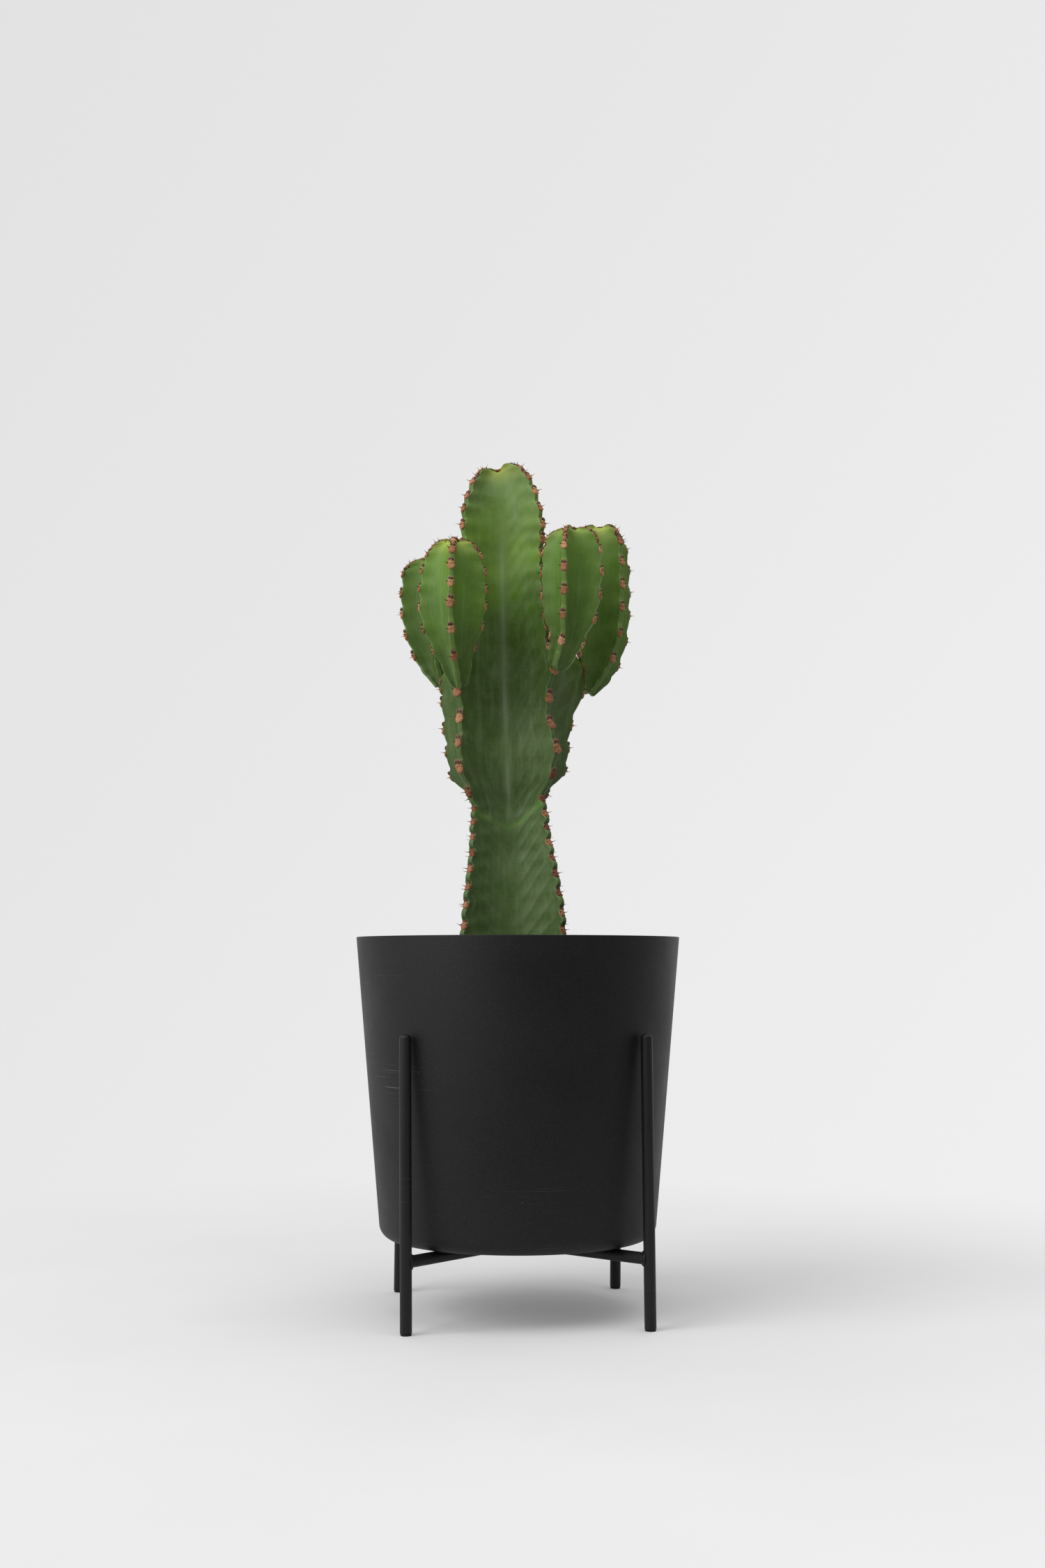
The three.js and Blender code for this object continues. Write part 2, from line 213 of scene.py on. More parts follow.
def rod_between(start, end):
    """A round bar added as a cylinder and turned to run from one point to another."""
    along = end - start
    bpy.ops.mesh.primitive_cylinder_add(
        vertices=48, radius=ROD, depth=along.length, location=(start + end) / 2,
        rotation=along.to_track_quat("Z", "Y").to_euler(),
    )
    return bpy.context.object


for corner, turn in CORNERS.items():
    foot = on_circle(turn + STAND_TURN, LEG_CIRCLE, LEG_FOOT)
    head = on_circle(turn + STAND_TURN + LEG_TWIST, LEG_CIRCLE, LEG_TOP)
    leg = rod_between(foot, head)
    half = (head - foot).length / 2
    pick(leg, "EDGE", lambda a, b: a.z > half - 1e-5 and b.z > half - 1e-5)
    bpy.ops.mesh.bevel(offset=LEG_ROUND, segments=8, profile=0.5, affect="EDGES")
    pick(leg, "EDGE", lambda a, b: a.z < 1e-5 - half and b.z < 1e-5 - half)
    bpy.ops.mesh.bevel(offset=LEG_EDGE, segments=2, profile=0.5, affect="EDGES")
    bpy.ops.object.mode_set(mode="OBJECT")
    apply_place()
    bpy.ops.object.shade_smooth_by_angle(angle=CREASE)
    finish_piece(leg, f"stand_leg_{corner}", stand_coat, "stand_coat", f"leg_{corner}")


# ---------------------------------------------------------------- cross bars and welds
# The same bar, crossed under the planter: one length runs through and two halves butt
# against it. Each end is welded to a leg; the bead was ground and coated over.
BAR_HEIGHT = 0.0702
BAR_TURN = STAND_TURN + LEG_TWIST * BAR_HEIGHT / LEG_TOP
BAR_END = LEG_CIRCLE - 0.002
BAR_BUTT = 0.001
BEAD = 0.0019
WELD_GAP = 0.0002


for bar_name, node_name, start_turn, start_reach, end_turn in (
        ("through", "long", -135, BAR_END, 45),
        ("half_front", "half_front", -45, BAR_BUTT, -45),
        ("half_back", "half_back", 135, BAR_BUTT, 135)):
    bar = rod_between(on_circle(start_turn + BAR_TURN, start_reach, BAR_HEIGHT),
                      on_circle(end_turn + BAR_TURN, BAR_END, BAR_HEIGHT))
    apply_place()
    bpy.ops.object.shade_smooth_by_angle(angle=CREASE)
    finish_piece(bar, f"stand_bar_{bar_name}", stand_coat, "stand_coat", f"cross_bar_{node_name}")


def weld_bead(name, turn, centre_radius, outward):
    """A ring bead round a bar's end, saddle shaped so that it lies on the round bar it joins."""
    bpy.ops.mesh.primitive_torus_add(
        major_segments=56, minor_segments=12, major_radius=ROD + WELD_GAP, minor_radius=BEAD
    )
    bead = bpy.context.object
    for vertex in bead.data.vertices:
        x, y, z = vertex.co
        round_bead = math.atan2(y, x)
        ripple = 1 + 0.05 * math.sin(round_bead * 11 + turn) + 0.04 * math.sin(round_bead * 5)
        across = min(abs(y), ROD * 0.98)
        saddle = ROD - math.sqrt(ROD**2 - across**2)
        vertex.co = (x * (1 + (ripple - 1) * 0.4), y * (1 + (ripple - 1) * 0.4),
                     z * ripple + saddle * 0.85)
    away = on_circle(turn, 1, 0) * outward
    side = Vector((0, 0, 1)).cross(away)
    basis = Matrix((Vector((0, 0, 1)), side, away)).transposed().to_4x4()
    bead.matrix_world = Matrix.Translation(on_circle(turn, centre_radius, BAR_HEIGHT)) @ basis
    apply_place()
    bpy.ops.object.mode_set(mode="EDIT")
    bpy.ops.mesh.select_all(action="SELECT")
    bpy.ops.mesh.normals_make_consistent(inside=False)
    bpy.ops.object.mode_set(mode="OBJECT")
    bpy.ops.object.shade_smooth()
    finish_piece(bead, name, stand_coat, "stand_coat")


for corner, turn in CORNERS.items():
    weld_bead(f"weld_leg_{corner}", turn + BAR_TURN, LEG_CIRCLE - ROD - WELD_GAP, 1)
for side_name, turn in {"front": -45, "back": 135}.items():
    weld_bead(f"weld_cross_{side_name}", turn + BAR_TURN, ROD + WELD_GAP, -1)


# ---------------------------------------------------------------- foot glides
# A thin hard rubber disc stuck under each leg so that the bar end doesn't mark the floor.
GLIDE_RADIUS = 0.0055
GLIDE_THICK = 0.0015
GLIDE_EDGE = 0.0003


def mottled(name, roughness, spacing, *stops):
    """A plain material mottled between tones: where on the noise each begins, and its colour."""
    material, tree, surface = new_material(name, Roughness=roughness)
    place = add_node(tree, "TexCoord").outputs["Object"]
    noise = add_node(tree, "TexNoise", {"Vector": place, "Scale": every(spacing)})
    tone = add_node(tree, "ValToRGB", {"Fac": noise},
                    stops=[(at, linear(colour)) for at, colour in stops])
    fill_sockets(surface, {"Base Color": tone})
    return material


# dull dark rubber that takes no highlight: it shows as a thin dark line under the bar
glide_rubber = mottled("moulded_rubber", 0.8, 1.1, (0.3, "0e0e0e"), (0.7, "1c1b1a"))

for corner, turn in CORNERS.items():
    centre = on_circle(turn + STAND_TURN, LEG_CIRCLE, GLIDE_THICK / 2)
    bpy.ops.mesh.primitive_cylinder_add(
        vertices=40, radius=GLIDE_RADIUS, depth=GLIDE_THICK, location=centre)
    glide = bpy.context.object
    pick(glide, "EDGE", lambda a, b: abs(a.z - b.z) < 1e-6)
    bpy.ops.mesh.bevel(offset=GLIDE_EDGE, segments=3, affect="EDGES")
    bpy.ops.object.mode_set(mode="OBJECT")
    apply_place()
    bpy.ops.object.shade_smooth_by_angle(angle=CREASE)
    finish_piece(glide, f"glide_{corner}", glide_rubber, "glide", f"foot_glide_{corner}")


# ---------------------------------------------------------------- planter
# Spun and welded sheet steel, 2 mm, open at the top with a plain turned edge, its wall
# tapering down to a bottom edge rounded on a former. Powder coated matte black.
RIM_RADIUS = 0.173
RIM_HEIGHT = 0.392
POT_UNDERSIDE = 0.0768
FOOT_RADIUS = 0.1452
EDGE_ROUND = 0.015
WALL = 0.002
BOTTOM_RING = 0.03
LIP_ROUND = 0.0004

pot_coat = powder_coat("matte_powder_coat_on_sheet", "070707", "0e0e0f", 0.52, 1.1, 0.55)

pot_depth = RIM_HEIGHT - POT_UNDERSIDE
bpy.ops.mesh.primitive_cylinder_add(
    vertices=160, radius=FOOT_RADIUS, depth=pot_depth,
    location=(0, 0, POT_UNDERSIDE + pot_depth / 2))
pot = bpy.context.object
pick(pot, "FACE", lambda c, n: n.z > 0.9)
bpy.ops.transform.resize(value=(RIM_RADIUS / FOOT_RADIUS, RIM_RADIUS / FOOT_RADIUS, 1))
bpy.ops.mesh.delete(type="ONLY_FACE")
pick(pot, "EDGE", lambda a, b: a.z < -0.1 and b.z < -0.1)
bpy.ops.mesh.bevel(offset=EDGE_ROUND * 0.94, segments=10, profile=0.5, affect="EDGES")
pick(pot, "FACE", lambda c, n: n.z < -0.99 and math.hypot(c.x, c.y) < 0.01)
for ring in range(3):
    bpy.ops.mesh.inset(thickness=BOTTOM_RING, depth=0)
bpy.ops.object.mode_set(mode="OBJECT")
apply_place()
wall = pot.modifiers.new("wall", "SOLIDIFY")
wall.thickness = WALL
wall.offset = -1
wall.use_even_offset = True
lip = pot.modifiers.new("lip", "BEVEL")
lip.width = LIP_ROUND
lip.segments = 3
lip.limit_method = "ANGLE"
lip.angle_limit = math.radians(60)
for modifier in ("wall", "lip"):
    bpy.ops.object.modifier_apply(modifier=modifier)
bpy.ops.object.shade_smooth_by_angle(angle=math.radians(35))
finish_piece(pot, "planter_shell", pot_coat, "powder_coat", "planter_pot")


# ---------------------------------------------------------------- potting mix
# Dark peat and bark with a little white perlite, filled to a hand below the rim and
# heaped slightly round the stem. The rim hides it from the side; it shows from above.
SOIL_LEVEL = 0.356
SOIL_FLOOR = 0.0790
SOIL_RADIUS = 0.1665
SOIL_RINGS = 30
SOIL_CLEAR = 0.006
SOIL_EDGE = 0.009

# damp peat: near black and without shine, broken up by the small shadows of its crumbs
potting_mix, soil_tree, soil_surface = new_material(
    "peat_and_bark_mix", **{"Roughness": 0.95, "Specular IOR Level": 0.2})
soil_place = add_node(soil_tree, "TexCoord").outputs["Object"]
soil_crumb = add_node(soil_tree, "TexVoronoi", {"Vector": soil_place, "Scale": every(3.8)})
soil_blotch = add_node(soil_tree, "TexNoise", {"Vector": soil_place, "Scale": every(17),
                                               "Detail": 6, "Roughness": 0.7})
soil_tone = add_node(soil_tree, "ValToRGB", {"Fac": soil_blotch},
                     stops=[(0.3, linear("17110d")), (0.52, linear("33261c")),
                            (0.75, linear("57432f"))])
soil_bump = add_node(soil_tree, "Bump",
                     {"Strength": 0.9, "Distance": 0.0025, "Height": soil_crumb})
fill_sockets(soil_surface, {"Base Color": soil_tone, "Normal": soil_bump})

soil_random = np.random.default_rng(7)


def soil_height(x, y):
    """Top of the potting mix: a low heap, slow waves and small unevenness."""
    radius = math.hypot(x, y)
    turn = math.atan2(y, x)
    heap = 0.004 * math.exp(-((radius / 0.095) ** 2))
    waves = 0.0013 * math.sin(3 * turn + radius / 0.021)
    waves += 0.0009 * math.cos(5 * turn - radius / 0.017)
    small = 0.0009 * math.sin(x * 410 + 1.3) * math.sin(y * 370)
    small += 0.0006 * math.sin(x * 900 + y * 350) * math.cos(y * 820 - x * 200)
    return SOIL_LEVEL + heap + waves * min(1, radius / 0.04) + small


soil_depth = SOIL_LEVEL - SOIL_FLOOR
bpy.ops.mesh.primitive_cylinder_add(
    vertices=120, radius=SOIL_RADIUS, depth=soil_depth,
    location=(0, 0, SOIL_FLOOR + soil_depth / 2))
soil = bpy.context.object
pick(soil, "FACE", lambda c, n: n.z < -0.9)
bottom_share = (FOOT_RADIUS - WALL - SOIL_CLEAR) / SOIL_RADIUS
bpy.ops.transform.resize(value=(bottom_share, bottom_share, 1))
pick(soil, "FACE", lambda c, n: n.z > 0.9)
for ring in range(SOIL_RINGS):
    bpy.ops.mesh.inset(thickness=SOIL_RADIUS / (SOIL_RINGS + 1), depth=0)
pick(soil, "EDGE", lambda a, b: a.z < 0 and b.z < 0)
bpy.ops.mesh.bevel(offset=SOIL_EDGE, segments=4, affect="EDGES")
bpy.ops.object.mode_set(mode="OBJECT")
apply_place()
for vertex in soil.data.vertices:
    if vertex.co.z > SOIL_LEVEL - 0.001:
        vertex.co.z = soil_height(vertex.co.x, vertex.co.y)
bpy.ops.object.shade_smooth_by_angle(angle=math.radians(50))
finish_piece(soil, "potting_mix", potting_mix, "soil", "potting_soil")


def stamp(name, prototypes, placements):
    """Copies of small modelled shapes, each at its own place, joined into one mesh."""
    points, faces, slots, tones = [], [], [], []
    start = 0
    for which, matrix, tone in placements:
        verts, polys, poly_slots = prototypes[which]
        moved = verts @ np.array(matrix.to_3x3()).T + np.array(matrix.translation)
        points.append(moved)
        faces.extend([tuple(i + start for i in poly) for poly in polys])
        slots.extend(poly_slots)
        tones.append(np.full(len(verts), tone))
        start += len(verts)
    mesh = bpy.data.meshes.new(name)
    mesh.from_pydata(np.concatenate(points).tolist(), [], faces)
    mesh.polygons.foreach_set("material_index", slots)
    shade = mesh.attributes.new("shade", "FLOAT", "POINT")
    shade.data.foreach_set("value", np.concatenate(tones))
    mesh.polygons.foreach_set("use_smooth", [True] * len(faces))
    piece = bpy.data.objects.new(name, mesh)
    bpy.context.collection.objects.link(piece)
    return piece


def take_shape(slot_index=0):
    """The active object's mesh as a prototype for stamping; the object itself goes."""
    shape = bpy.context.object
    mesh = shape.data
    verts = np.array([v.co[:] for v in mesh.vertices])
    polys = [tuple(p.vertices) for p in mesh.polygons]
    bpy.data.objects.remove(shape, do_unlink=True)
    return verts, polys, [slot_index] * len(polys)


def join_shapes(*shapes):
    """Several small shapes joined into one for stamping."""
    verts, polys, slots = [], [], []
    start = 0
    for shape_verts, shape_polys, shape_slots in shapes:
        verts.append(shape_verts)
        polys.extend([tuple(i + start for i in poly) for poly in shape_polys])
        slots.extend(shape_slots)
        start += len(shape_verts)
    return np.concatenate(verts), polys, slots


def rough_pebble(seed, squash, roughness, detail=2):
    """A small lump: an icosphere pulled out of round."""
    bpy.ops.mesh.primitive_ico_sphere_add(subdivisions=detail, radius=1)
    shape = bpy.context.object
    noise = np.random.default_rng(seed)
    pull = noise.uniform(-1, 1, (6, 3))
    for vertex in shape.data.vertices:
        direction = np.array(vertex.co)
        swell = 1 + roughness * sum(math.sin(3 * float(direction @ p) + i)
                                    for i, p in enumerate(pull)) / 3
        vertex.co = Vector(direction * swell * np.array(squash))
    return take_shape()


mix_lumps = [rough_pebble(1, (1, 0.8, 0.55), 0.22), rough_pebble(2, (1, 0.6, 0.35), 0.3),
             rough_pebble(3, (0.9, 1, 0.8), 0.18)]


def shaded_by_piece(tree, spacing, spread, stops, **noise_sockets):
    """Tone of loose bits: each bit's own shade, spread by a noise; returns tone and noise."""
    shade = add_node(tree, "Attribute", attribute_name="shade").outputs["Fac"]
    place = add_node(tree, "TexCoord").outputs["Object"]
    noise = add_node(tree, "TexNoise", {"Vector": place, "Scale": every(spacing), **noise_sockets})
    key = add_node(tree, "Math", {0: noise, 1: spread, 2: shade}, operation="MULTIPLY_ADD")
    tone = add_node(tree, "ValToRGB", {"Fac": key},
                    stops=[(at, linear(colour)) for at, colour in stops])
    return tone, noise


# dry bark, dull and from near black to tan; the odd bit of perlite stands out almost white
bark_chip, bark_tree, bark_surface = new_material("pine_bark_and_perlite", Roughness=0.9)
bark_tone, _ = shaded_by_piece(
    bark_tree, 2, 0.22, ((0.1, "1d1510"), (0.45, "4a3524"), (0.75, "7c5b3d"), (0.9, "d8d3c8")),
    Detail=4)
fill_sockets(bark_surface, {"Base Color": bark_tone})

LUMP_TRIES = 620
PERLITE_SHARE = 0.09
lump_places = []
for _ in range(LUMP_TRIES):
    radius = math.sqrt(soil_random.uniform(0.09, 0.96)) * SOIL_RADIUS * 0.985
    turn = soil_random.uniform(0, 2 * math.pi)
    x, y = radius * math.cos(turn), radius * math.sin(turn)
    size = soil_random.uniform(0.0011, 0.0038)
    if radius + size > SOIL_RADIUS - 0.001:
        continue
    white = soil_random.random() < PERLITE_SHARE
    tone = 0.88 if white else soil_random.uniform(0.0, 0.6)
    turn_up = Matrix.Rotation(soil_random.uniform(0, 6.28), 4, "Z") @ Matrix.Rotation(
        soil_random.uniform(-0.5, 0.5), 4, "X")
    place = Matrix.Translation((x, y, soil_height(x, y) + size * 0.15)) @ turn_up
    scale = size * (0.6 if white else 1)
    lump_places.append((int(soil_random.integers(3)), place @ Matrix.Scale(scale, 4), tone))
lumps = stamp("bark_and_perlite", mix_lumps, lump_places)
finish_piece(lumps, "bark_and_perlite", bark_chip, "soil")


# ---------------------------------------------------------------- main stem
# One grown stem of two seasons with a waist between them: four fleshy ribs, broad hollow
# faces between, rib edges scalloped from pad to pad. Waxy skin, greyer and duller when old.
# Rows are the whorls of pads in millimetres: height on the two left ribs, height on
# the front right rib, then reach of the front left, front right, back right, back left rib,
# then height on the back right rib, which shoulders out where its branch grew.
MAIN_TURNS = (-43, 43, 126, -126)
MAIN_ROWS = np.array([
    [305, 308, 42, 42, 40, 40, 305],
    [325, 330, 66, 66, 58, 58, 325],
    [345, 353, 74, 75, 63, 63, 345],
    [365, 376, 79, 79, 66, 66, 365],
    [385, 398, 78, 77, 66, 66, 385],
    [405, 416, 75, 76, 66, 66, 405],
    [427, 437, 72, 72, 64, 64, 427],
    [446, 457, 68, 68, 61, 61, 446],
    [465, 474, 64, 64, 57, 57, 465],
    [482, 490, 60, 60, 54, 54, 482],
    [499, 507, 59, 57, 50, 51, 499],
    [515, 521, 57, 56, 46, 48, 515],
    [530, 538, 55, 53, 44, 46, 530],
    [547, 562, 62, 70, 50, 52, 547],
    [573, 589, 74, 78, 77, 76, 573],
    [600, 617, 74, 70, 83, 81, 600],
    [626, 645, 71, 69, 88, 84, 626],
    [656, 677, 73, 78, 106, 86, 664],
    [680, 699, 71, 72, 114, 87, 693],
    [704, 721, 69, 69, 95, 79, 706],
    [727, 743, 67, 68, 74, 72, 727],
    [749, 764, 65, 66, 69, 67, 749],
    [771, 782, 64, 65, 65, 63, 771],
    [792, 800, 62, 64, 61, 59, 792],
    [814, 817, 61, 65, 58, 54, 814],
    [835, 833, 60, 66, 54, 50, 835],
    [854, 852, 58, 62, 51, 47, 854],
    [870, 870, 51, 56, 46, 43, 870],
    [887, 888, 41, 47, 38, 36, 887],
    [901, 902, 27, 34, 26, 24, 901],
    [904, 909, 14, 18, 14, 13, 904],
    [902, 904, 5, 6, 6, 5, 902],
], dtype=float)
MAIN_AXIS = np.array([[300, -4, 0], [405, -5, 0], [515, -8.5, 0], [600, -12.5, 0],
                      [750, -16.5, 0], [854, -19, 0], [910, -22, 0]], dtype=float)
WAIST_ROW = 12.4
VALLEY_SHARE = 0.45
DOME_LAG = 0.12
RINGS_PER_ROW = 12
# flat crest and round shoulder of a rib, as shares of the way to the middle of the face
CREST_SHARE = 0.30
SHOULDER_SHARE = 0.42
# in rows of pads: the shift that lays a pale streak on each ridge, and the seam's dip
STREAK_SHIFT = 0.14
SEAM_DIP = 2.4


def read_rows(rows, at):
    """Smooth curve through rows of numbers, read at fractional rows."""
    last = len(rows) - 1
    i = np.clip(np.floor(at).astype(int), 0, last - 1)
    f = (at - i)[:, None]
    before, start = rows[np.maximum(i - 1, 0)], rows[i]
    end, after = rows[i + 1], rows[np.minimum(i + 2, last)]
    slope_in, slope_out, rise = (end - before) / 2, (after - start) / 2, end - start
    return start + f * (slope_in + f * (3 * rise - 2 * slope_in - slope_out
                                        + f * (slope_in + slope_out - 2 * rise)))


def read_axis(axis, height):
    """Points on a stem's curved axis at given heights."""
    i = np.clip(np.searchsorted(axis[:, 0], height, side="right") - 1, 0, len(axis) - 2)
    f = np.clip((height - axis[i, 0]) / (axis[i + 1, 0] - axis[i, 0]), 0, 0.999999)
    xy = read_rows(axis[:, 1:], i + f)
    return np.column_stack([xy, height])


def unit(v):
    """Rows of vectors brought to length one."""
    return v / np.maximum(np.linalg.norm(v, axis=1, keepdims=True), 1e-9)


def beside_axis(axis, height, turn, reach, sideways):
    """Points beside a stem's axis: turned about it, reaching out and moved sideways."""
    centre = read_axis(axis, height)
    along = unit(read_axis(axis, height + 4) - read_axis(axis, height - 4))
    outward = np.column_stack([np.sin(turn), -np.cos(turn), np.zeros_like(turn)])
    outward = unit(outward - along * np.sum(outward * along, axis=1, keepdims=True))
    side = np.cross(along, outward)
    return centre + outward * reach[:, None] + side * sideways[:, None]


def smooth_step(low, high, value):
    """0 below low, 1 above high and a soft step between."""
    f = np.clip((value - low) / (high - low), 0, 1)
    return f * f * (3 - 2 * f)


def rib_edge(stem, rib, at):
    """Height, smooth reach and scalloped reach of one rib's edge at fractional rows."""
    row = read_rows(stem["rows"], at)
    height = row[:, stem["height_column"][rib]]
    reach = row[:, stem["reach_column"][rib]]
    f = at - np.floor(at)
    old = 1 - smooth_step(stem["waist"] - 0.4, stem["waist"] + 0.6, at)
    # old growth: pads sit in wide notches; young growth: pads near the top of each lobe
    wide = np.clip(np.sin(np.pi * np.clip((f - 0.26) / 0.58, 0, 1)), 0, 1) ** 0.6
    late = np.sin(np.pi * ((f - 0.36) % 1)) ** 0.7 - 0.8
    lobe = old * (3.4 * wide - 0.3) + (1 - old) * stem["lobe"] * late
    last = len(stem["rows"]) - 1
    fade = smooth_step(1, 3, at) * (1 - smooth_step(last - 3.2, last - 0.8, at))
    return height, reach, reach + lobe * fade


def rib_section(stem, at, rib, across):
    """Points of the skin from one rib's edge (across 0) to the next rib's edge (across 1)."""
    count = len(stem["turns"])
    after = (rib + 1) % count
    turn_a = np.radians(stem["turns"][rib])
    span = (np.radians(stem["turns"][after]) - turn_a) % (2 * np.pi)
    height_a, smooth_a, edge_a = rib_edge(stem, rib, at)
    height_b, smooth_b, edge_b = rib_edge(stem, after, at)
    last = len(stem["rows"]) - 1
    widest = stem["widest"]
    near_a = across <= 0.5
    height = np.where(near_a, height_a, height_b)
    smooth = np.where(near_a, smooth_a, smooth_b)
    edge = np.where(near_a, edge_a, edge_b)
    turn = np.where(near_a, turn_a, turn_a + span)
    hand = np.where(near_a, 1.0, -1.0)
    q = np.where(near_a, across, 1 - across) * 2
    low = (smooth_a + smooth_b) / 2 * stem["valley"]
    lag = np.maximum(0, widest - smooth) * DOME_LAG * smooth_step(last - 6, last - 3, at)
    valley_height = (height_a + height_b) / 2 - lag
    pad_near = np.cos(2 * np.pi * (at - 0.05))
    half = np.minimum(stem["crest"] * (1 + 0.14 * pad_near), edge * 0.34)
    # flat crest, round shoulder, then a flank running down into the valley
    c = np.clip(q / CREST_SHARE, 0, 1)
    s = np.clip((q - CREST_SHARE) / (SHOULDER_SHARE - CREST_SHARE), 0, 1)
    f = np.clip((q - SHOULDER_SHARE) / (1 - SHOULDER_SHARE), 0, 1)
    sideways = half * (0.86 * c + 0.20 * np.sin(s * np.pi / 2))
    drop = half * (0.10 * c**2 + 0.42 * (1 - np.cos(s * np.pi / 2)))
    radial = smooth - drop
    half_span = span / 2
    valley_r, valley_s = low * np.cos(half_span), low * np.sin(half_span)
    inward = radial - valley_r
    c1_r, c1_s = radial - inward * stem["wing"], sideways + 0.06 * inward
    c2_r = valley_r + low * 0.62 * np.sin(half_span)
    c2_s = valley_s - low * 0.62 * np.cos(half_span)
    g = 1 - f
    flank_r = g**3 * radial + 3 * g * g * f * c1_r + 3 * g * f * f * c2_r + f**3 * valley_r
    flank_s = g**3 * sideways + 3 * g * g * f * c1_s + 3 * g * f * f * c2_s + f**3 * valley_s
    lean = smooth_step(0.0, 1.0, f)
    z = height * (1 - lean) + valley_height * lean
    # how far the skin has come from the rib toward the middle of the face, 0 to 1
    breadth = np.maximum(radial * np.sin(half_span) - sideways * np.cos(half_span), 0.1)
    inside = flank_r * np.sin(half_span) - flank_s * np.cos(half_span)
    toward_middle = np.clip(1 - inside / breadth, 0, 1)
    # feather ridges slant down each face from the notches to the middle
    old = 1 - smooth_step(stem["waist"] - 2, stem["waist"] + 1, at)
    slant = at + stem["feather"] * toward_middle - 0.1
    ridge = 0.64 - np.sqrt(np.sin(np.pi * slant) ** 2 + 0.02)
    window = smooth_step(0.02, 0.16, toward_middle) * (1 - smooth_step(0.62, 0.96, toward_middle))
    lift = ridge * window * (old * 1.1 + (1 - old) * stem["ripple"])
    lift = lift * np.where(near_a, 0.3, 1.0) * (1 - smooth_step(last - 4, last - 2, at))
    # the lobes between pads die away just inside the rib's edge
    flank_r = flank_r + (edge - smooth) * g**5
    # slow unevenness of grown flesh
    wave = np.sin(at * 1.7 + rib * 2.1) * np.sin(f * 3 + at * 0.9 + rib) * 0.5 * f
    flank_r = flank_r + (lift + wave) * np.cos(half_span)
    flank_s = flank_s + (lift + wave) * np.sin(half_span)
    return beside_axis(stem["axis"], z, turn, flank_r, flank_s * hand), toward_middle


def ribbed_skin(name, stem):
    """A closed sphere mesh drawn up into a ribbed stem; its UV map follows ribs and rows."""
    ribs = len(stem["turns"])
    around = stem["around"]
    segments = ribs * around
    rings = (len(stem["rows"]) - 1) * RINGS_PER_ROW + 2
    bpy.ops.mesh.primitive_uv_sphere_add(segments=segments, ring_count=rings, radius=1)
    skin = bpy.context.object
    mesh = skin.data
    count = len(mesh.vertices)
    ball = np.empty(count * 3)
    mesh.vertices.foreach_get("co", ball)
    ball = ball.reshape(-1, 3)
    ring = np.rint((1 - np.arccos(np.clip(ball[:, 2], -1, 1)) / np.pi) * rings).astype(int)
    turn = np.arctan2(ball[:, 1], ball[:, 0]) % (2 * np.pi)
    step = np.rint(turn / (2 * np.pi) * segments).astype(int) % segments
    at = np.clip((ring - 1) / RINGS_PER_ROW, 0, len(stem["rows"]) - 1.0)
    placed = np.empty_like(ball)
    inward = np.ones(count)
    for rib in range(ribs):
        mine = (step // around) == rib
        across = (step[mine] % around) / around
        placed[mine], inward[mine] = rib_section(stem, at[mine], rib, across)
    bottom, top = ring == 0, ring == rings
    low, _, _ = rib_edge(stem, 0, np.array([0.0]))
    high, _, _ = rib_edge(stem, 0, np.array([len(stem["rows"]) - 1.0]))
    placed[bottom] = read_axis(stem["axis"], low - 0.5)
    placed[top] = read_axis(stem["axis"], high - 1.5)
    mesh.vertices.foreach_set("co", (placed * 0.001).ravel())
    # the stem's tone goes on every point: painted shade that darkens the whole skin of a branch
    # standing in shade
    for attribute, value in (("toward_middle", inward), ("tone", np.full(count, stem["tone"]))):
        mesh.attributes.new(attribute, "FLOAT", "POINT").data.foreach_set("value", value)
    # UV: whole numbers across are rib edges, whole numbers along are rows of pads
    corner_vertex = np.empty(len(mesh.loops), dtype=int)
    mesh.loops.foreach_get("vertex_index", corner_vertex)
    start = np.empty(len(mesh.polygons), dtype=int)
    mesh.polygons.foreach_get("loop_start", start)
    total = np.empty(len(mesh.polygons), dtype=int)
    mesh.polygons.foreach_get("loop_total", total)
    face_of = np.repeat(np.arange(len(start)), total)
    u = step[corner_vertex].astype(float)
    pole = bottom[corner_vertex] | top[corner_vertex]
    u_here = np.where(pole, np.nan, u)
    face_low = np.full(len(start), np.inf)
    np.fmin.at(face_low, face_of, u_here)
    face_high = np.full(len(start), -np.inf)
    np.fmax.at(face_high, face_of, u_here)
    wraps = (face_high - face_low) > segments / 2
    u = np.where(wraps[face_of] & (u < segments / 2), u + segments, u)
    middle = np.where(wraps, segments - 0.5, (face_low + face_high) / 2)
    u = np.where(pole, middle[face_of], u)
    uv = np.column_stack([u / around, at[corner_vertex]])
    mesh.uv_layers[0].name = "ribs_and_rows"
    mesh.uv_layers[0].data.foreach_set("uv", uv.ravel())
    mesh.update()
    bpy.ops.object.shade_smooth()
    return skin


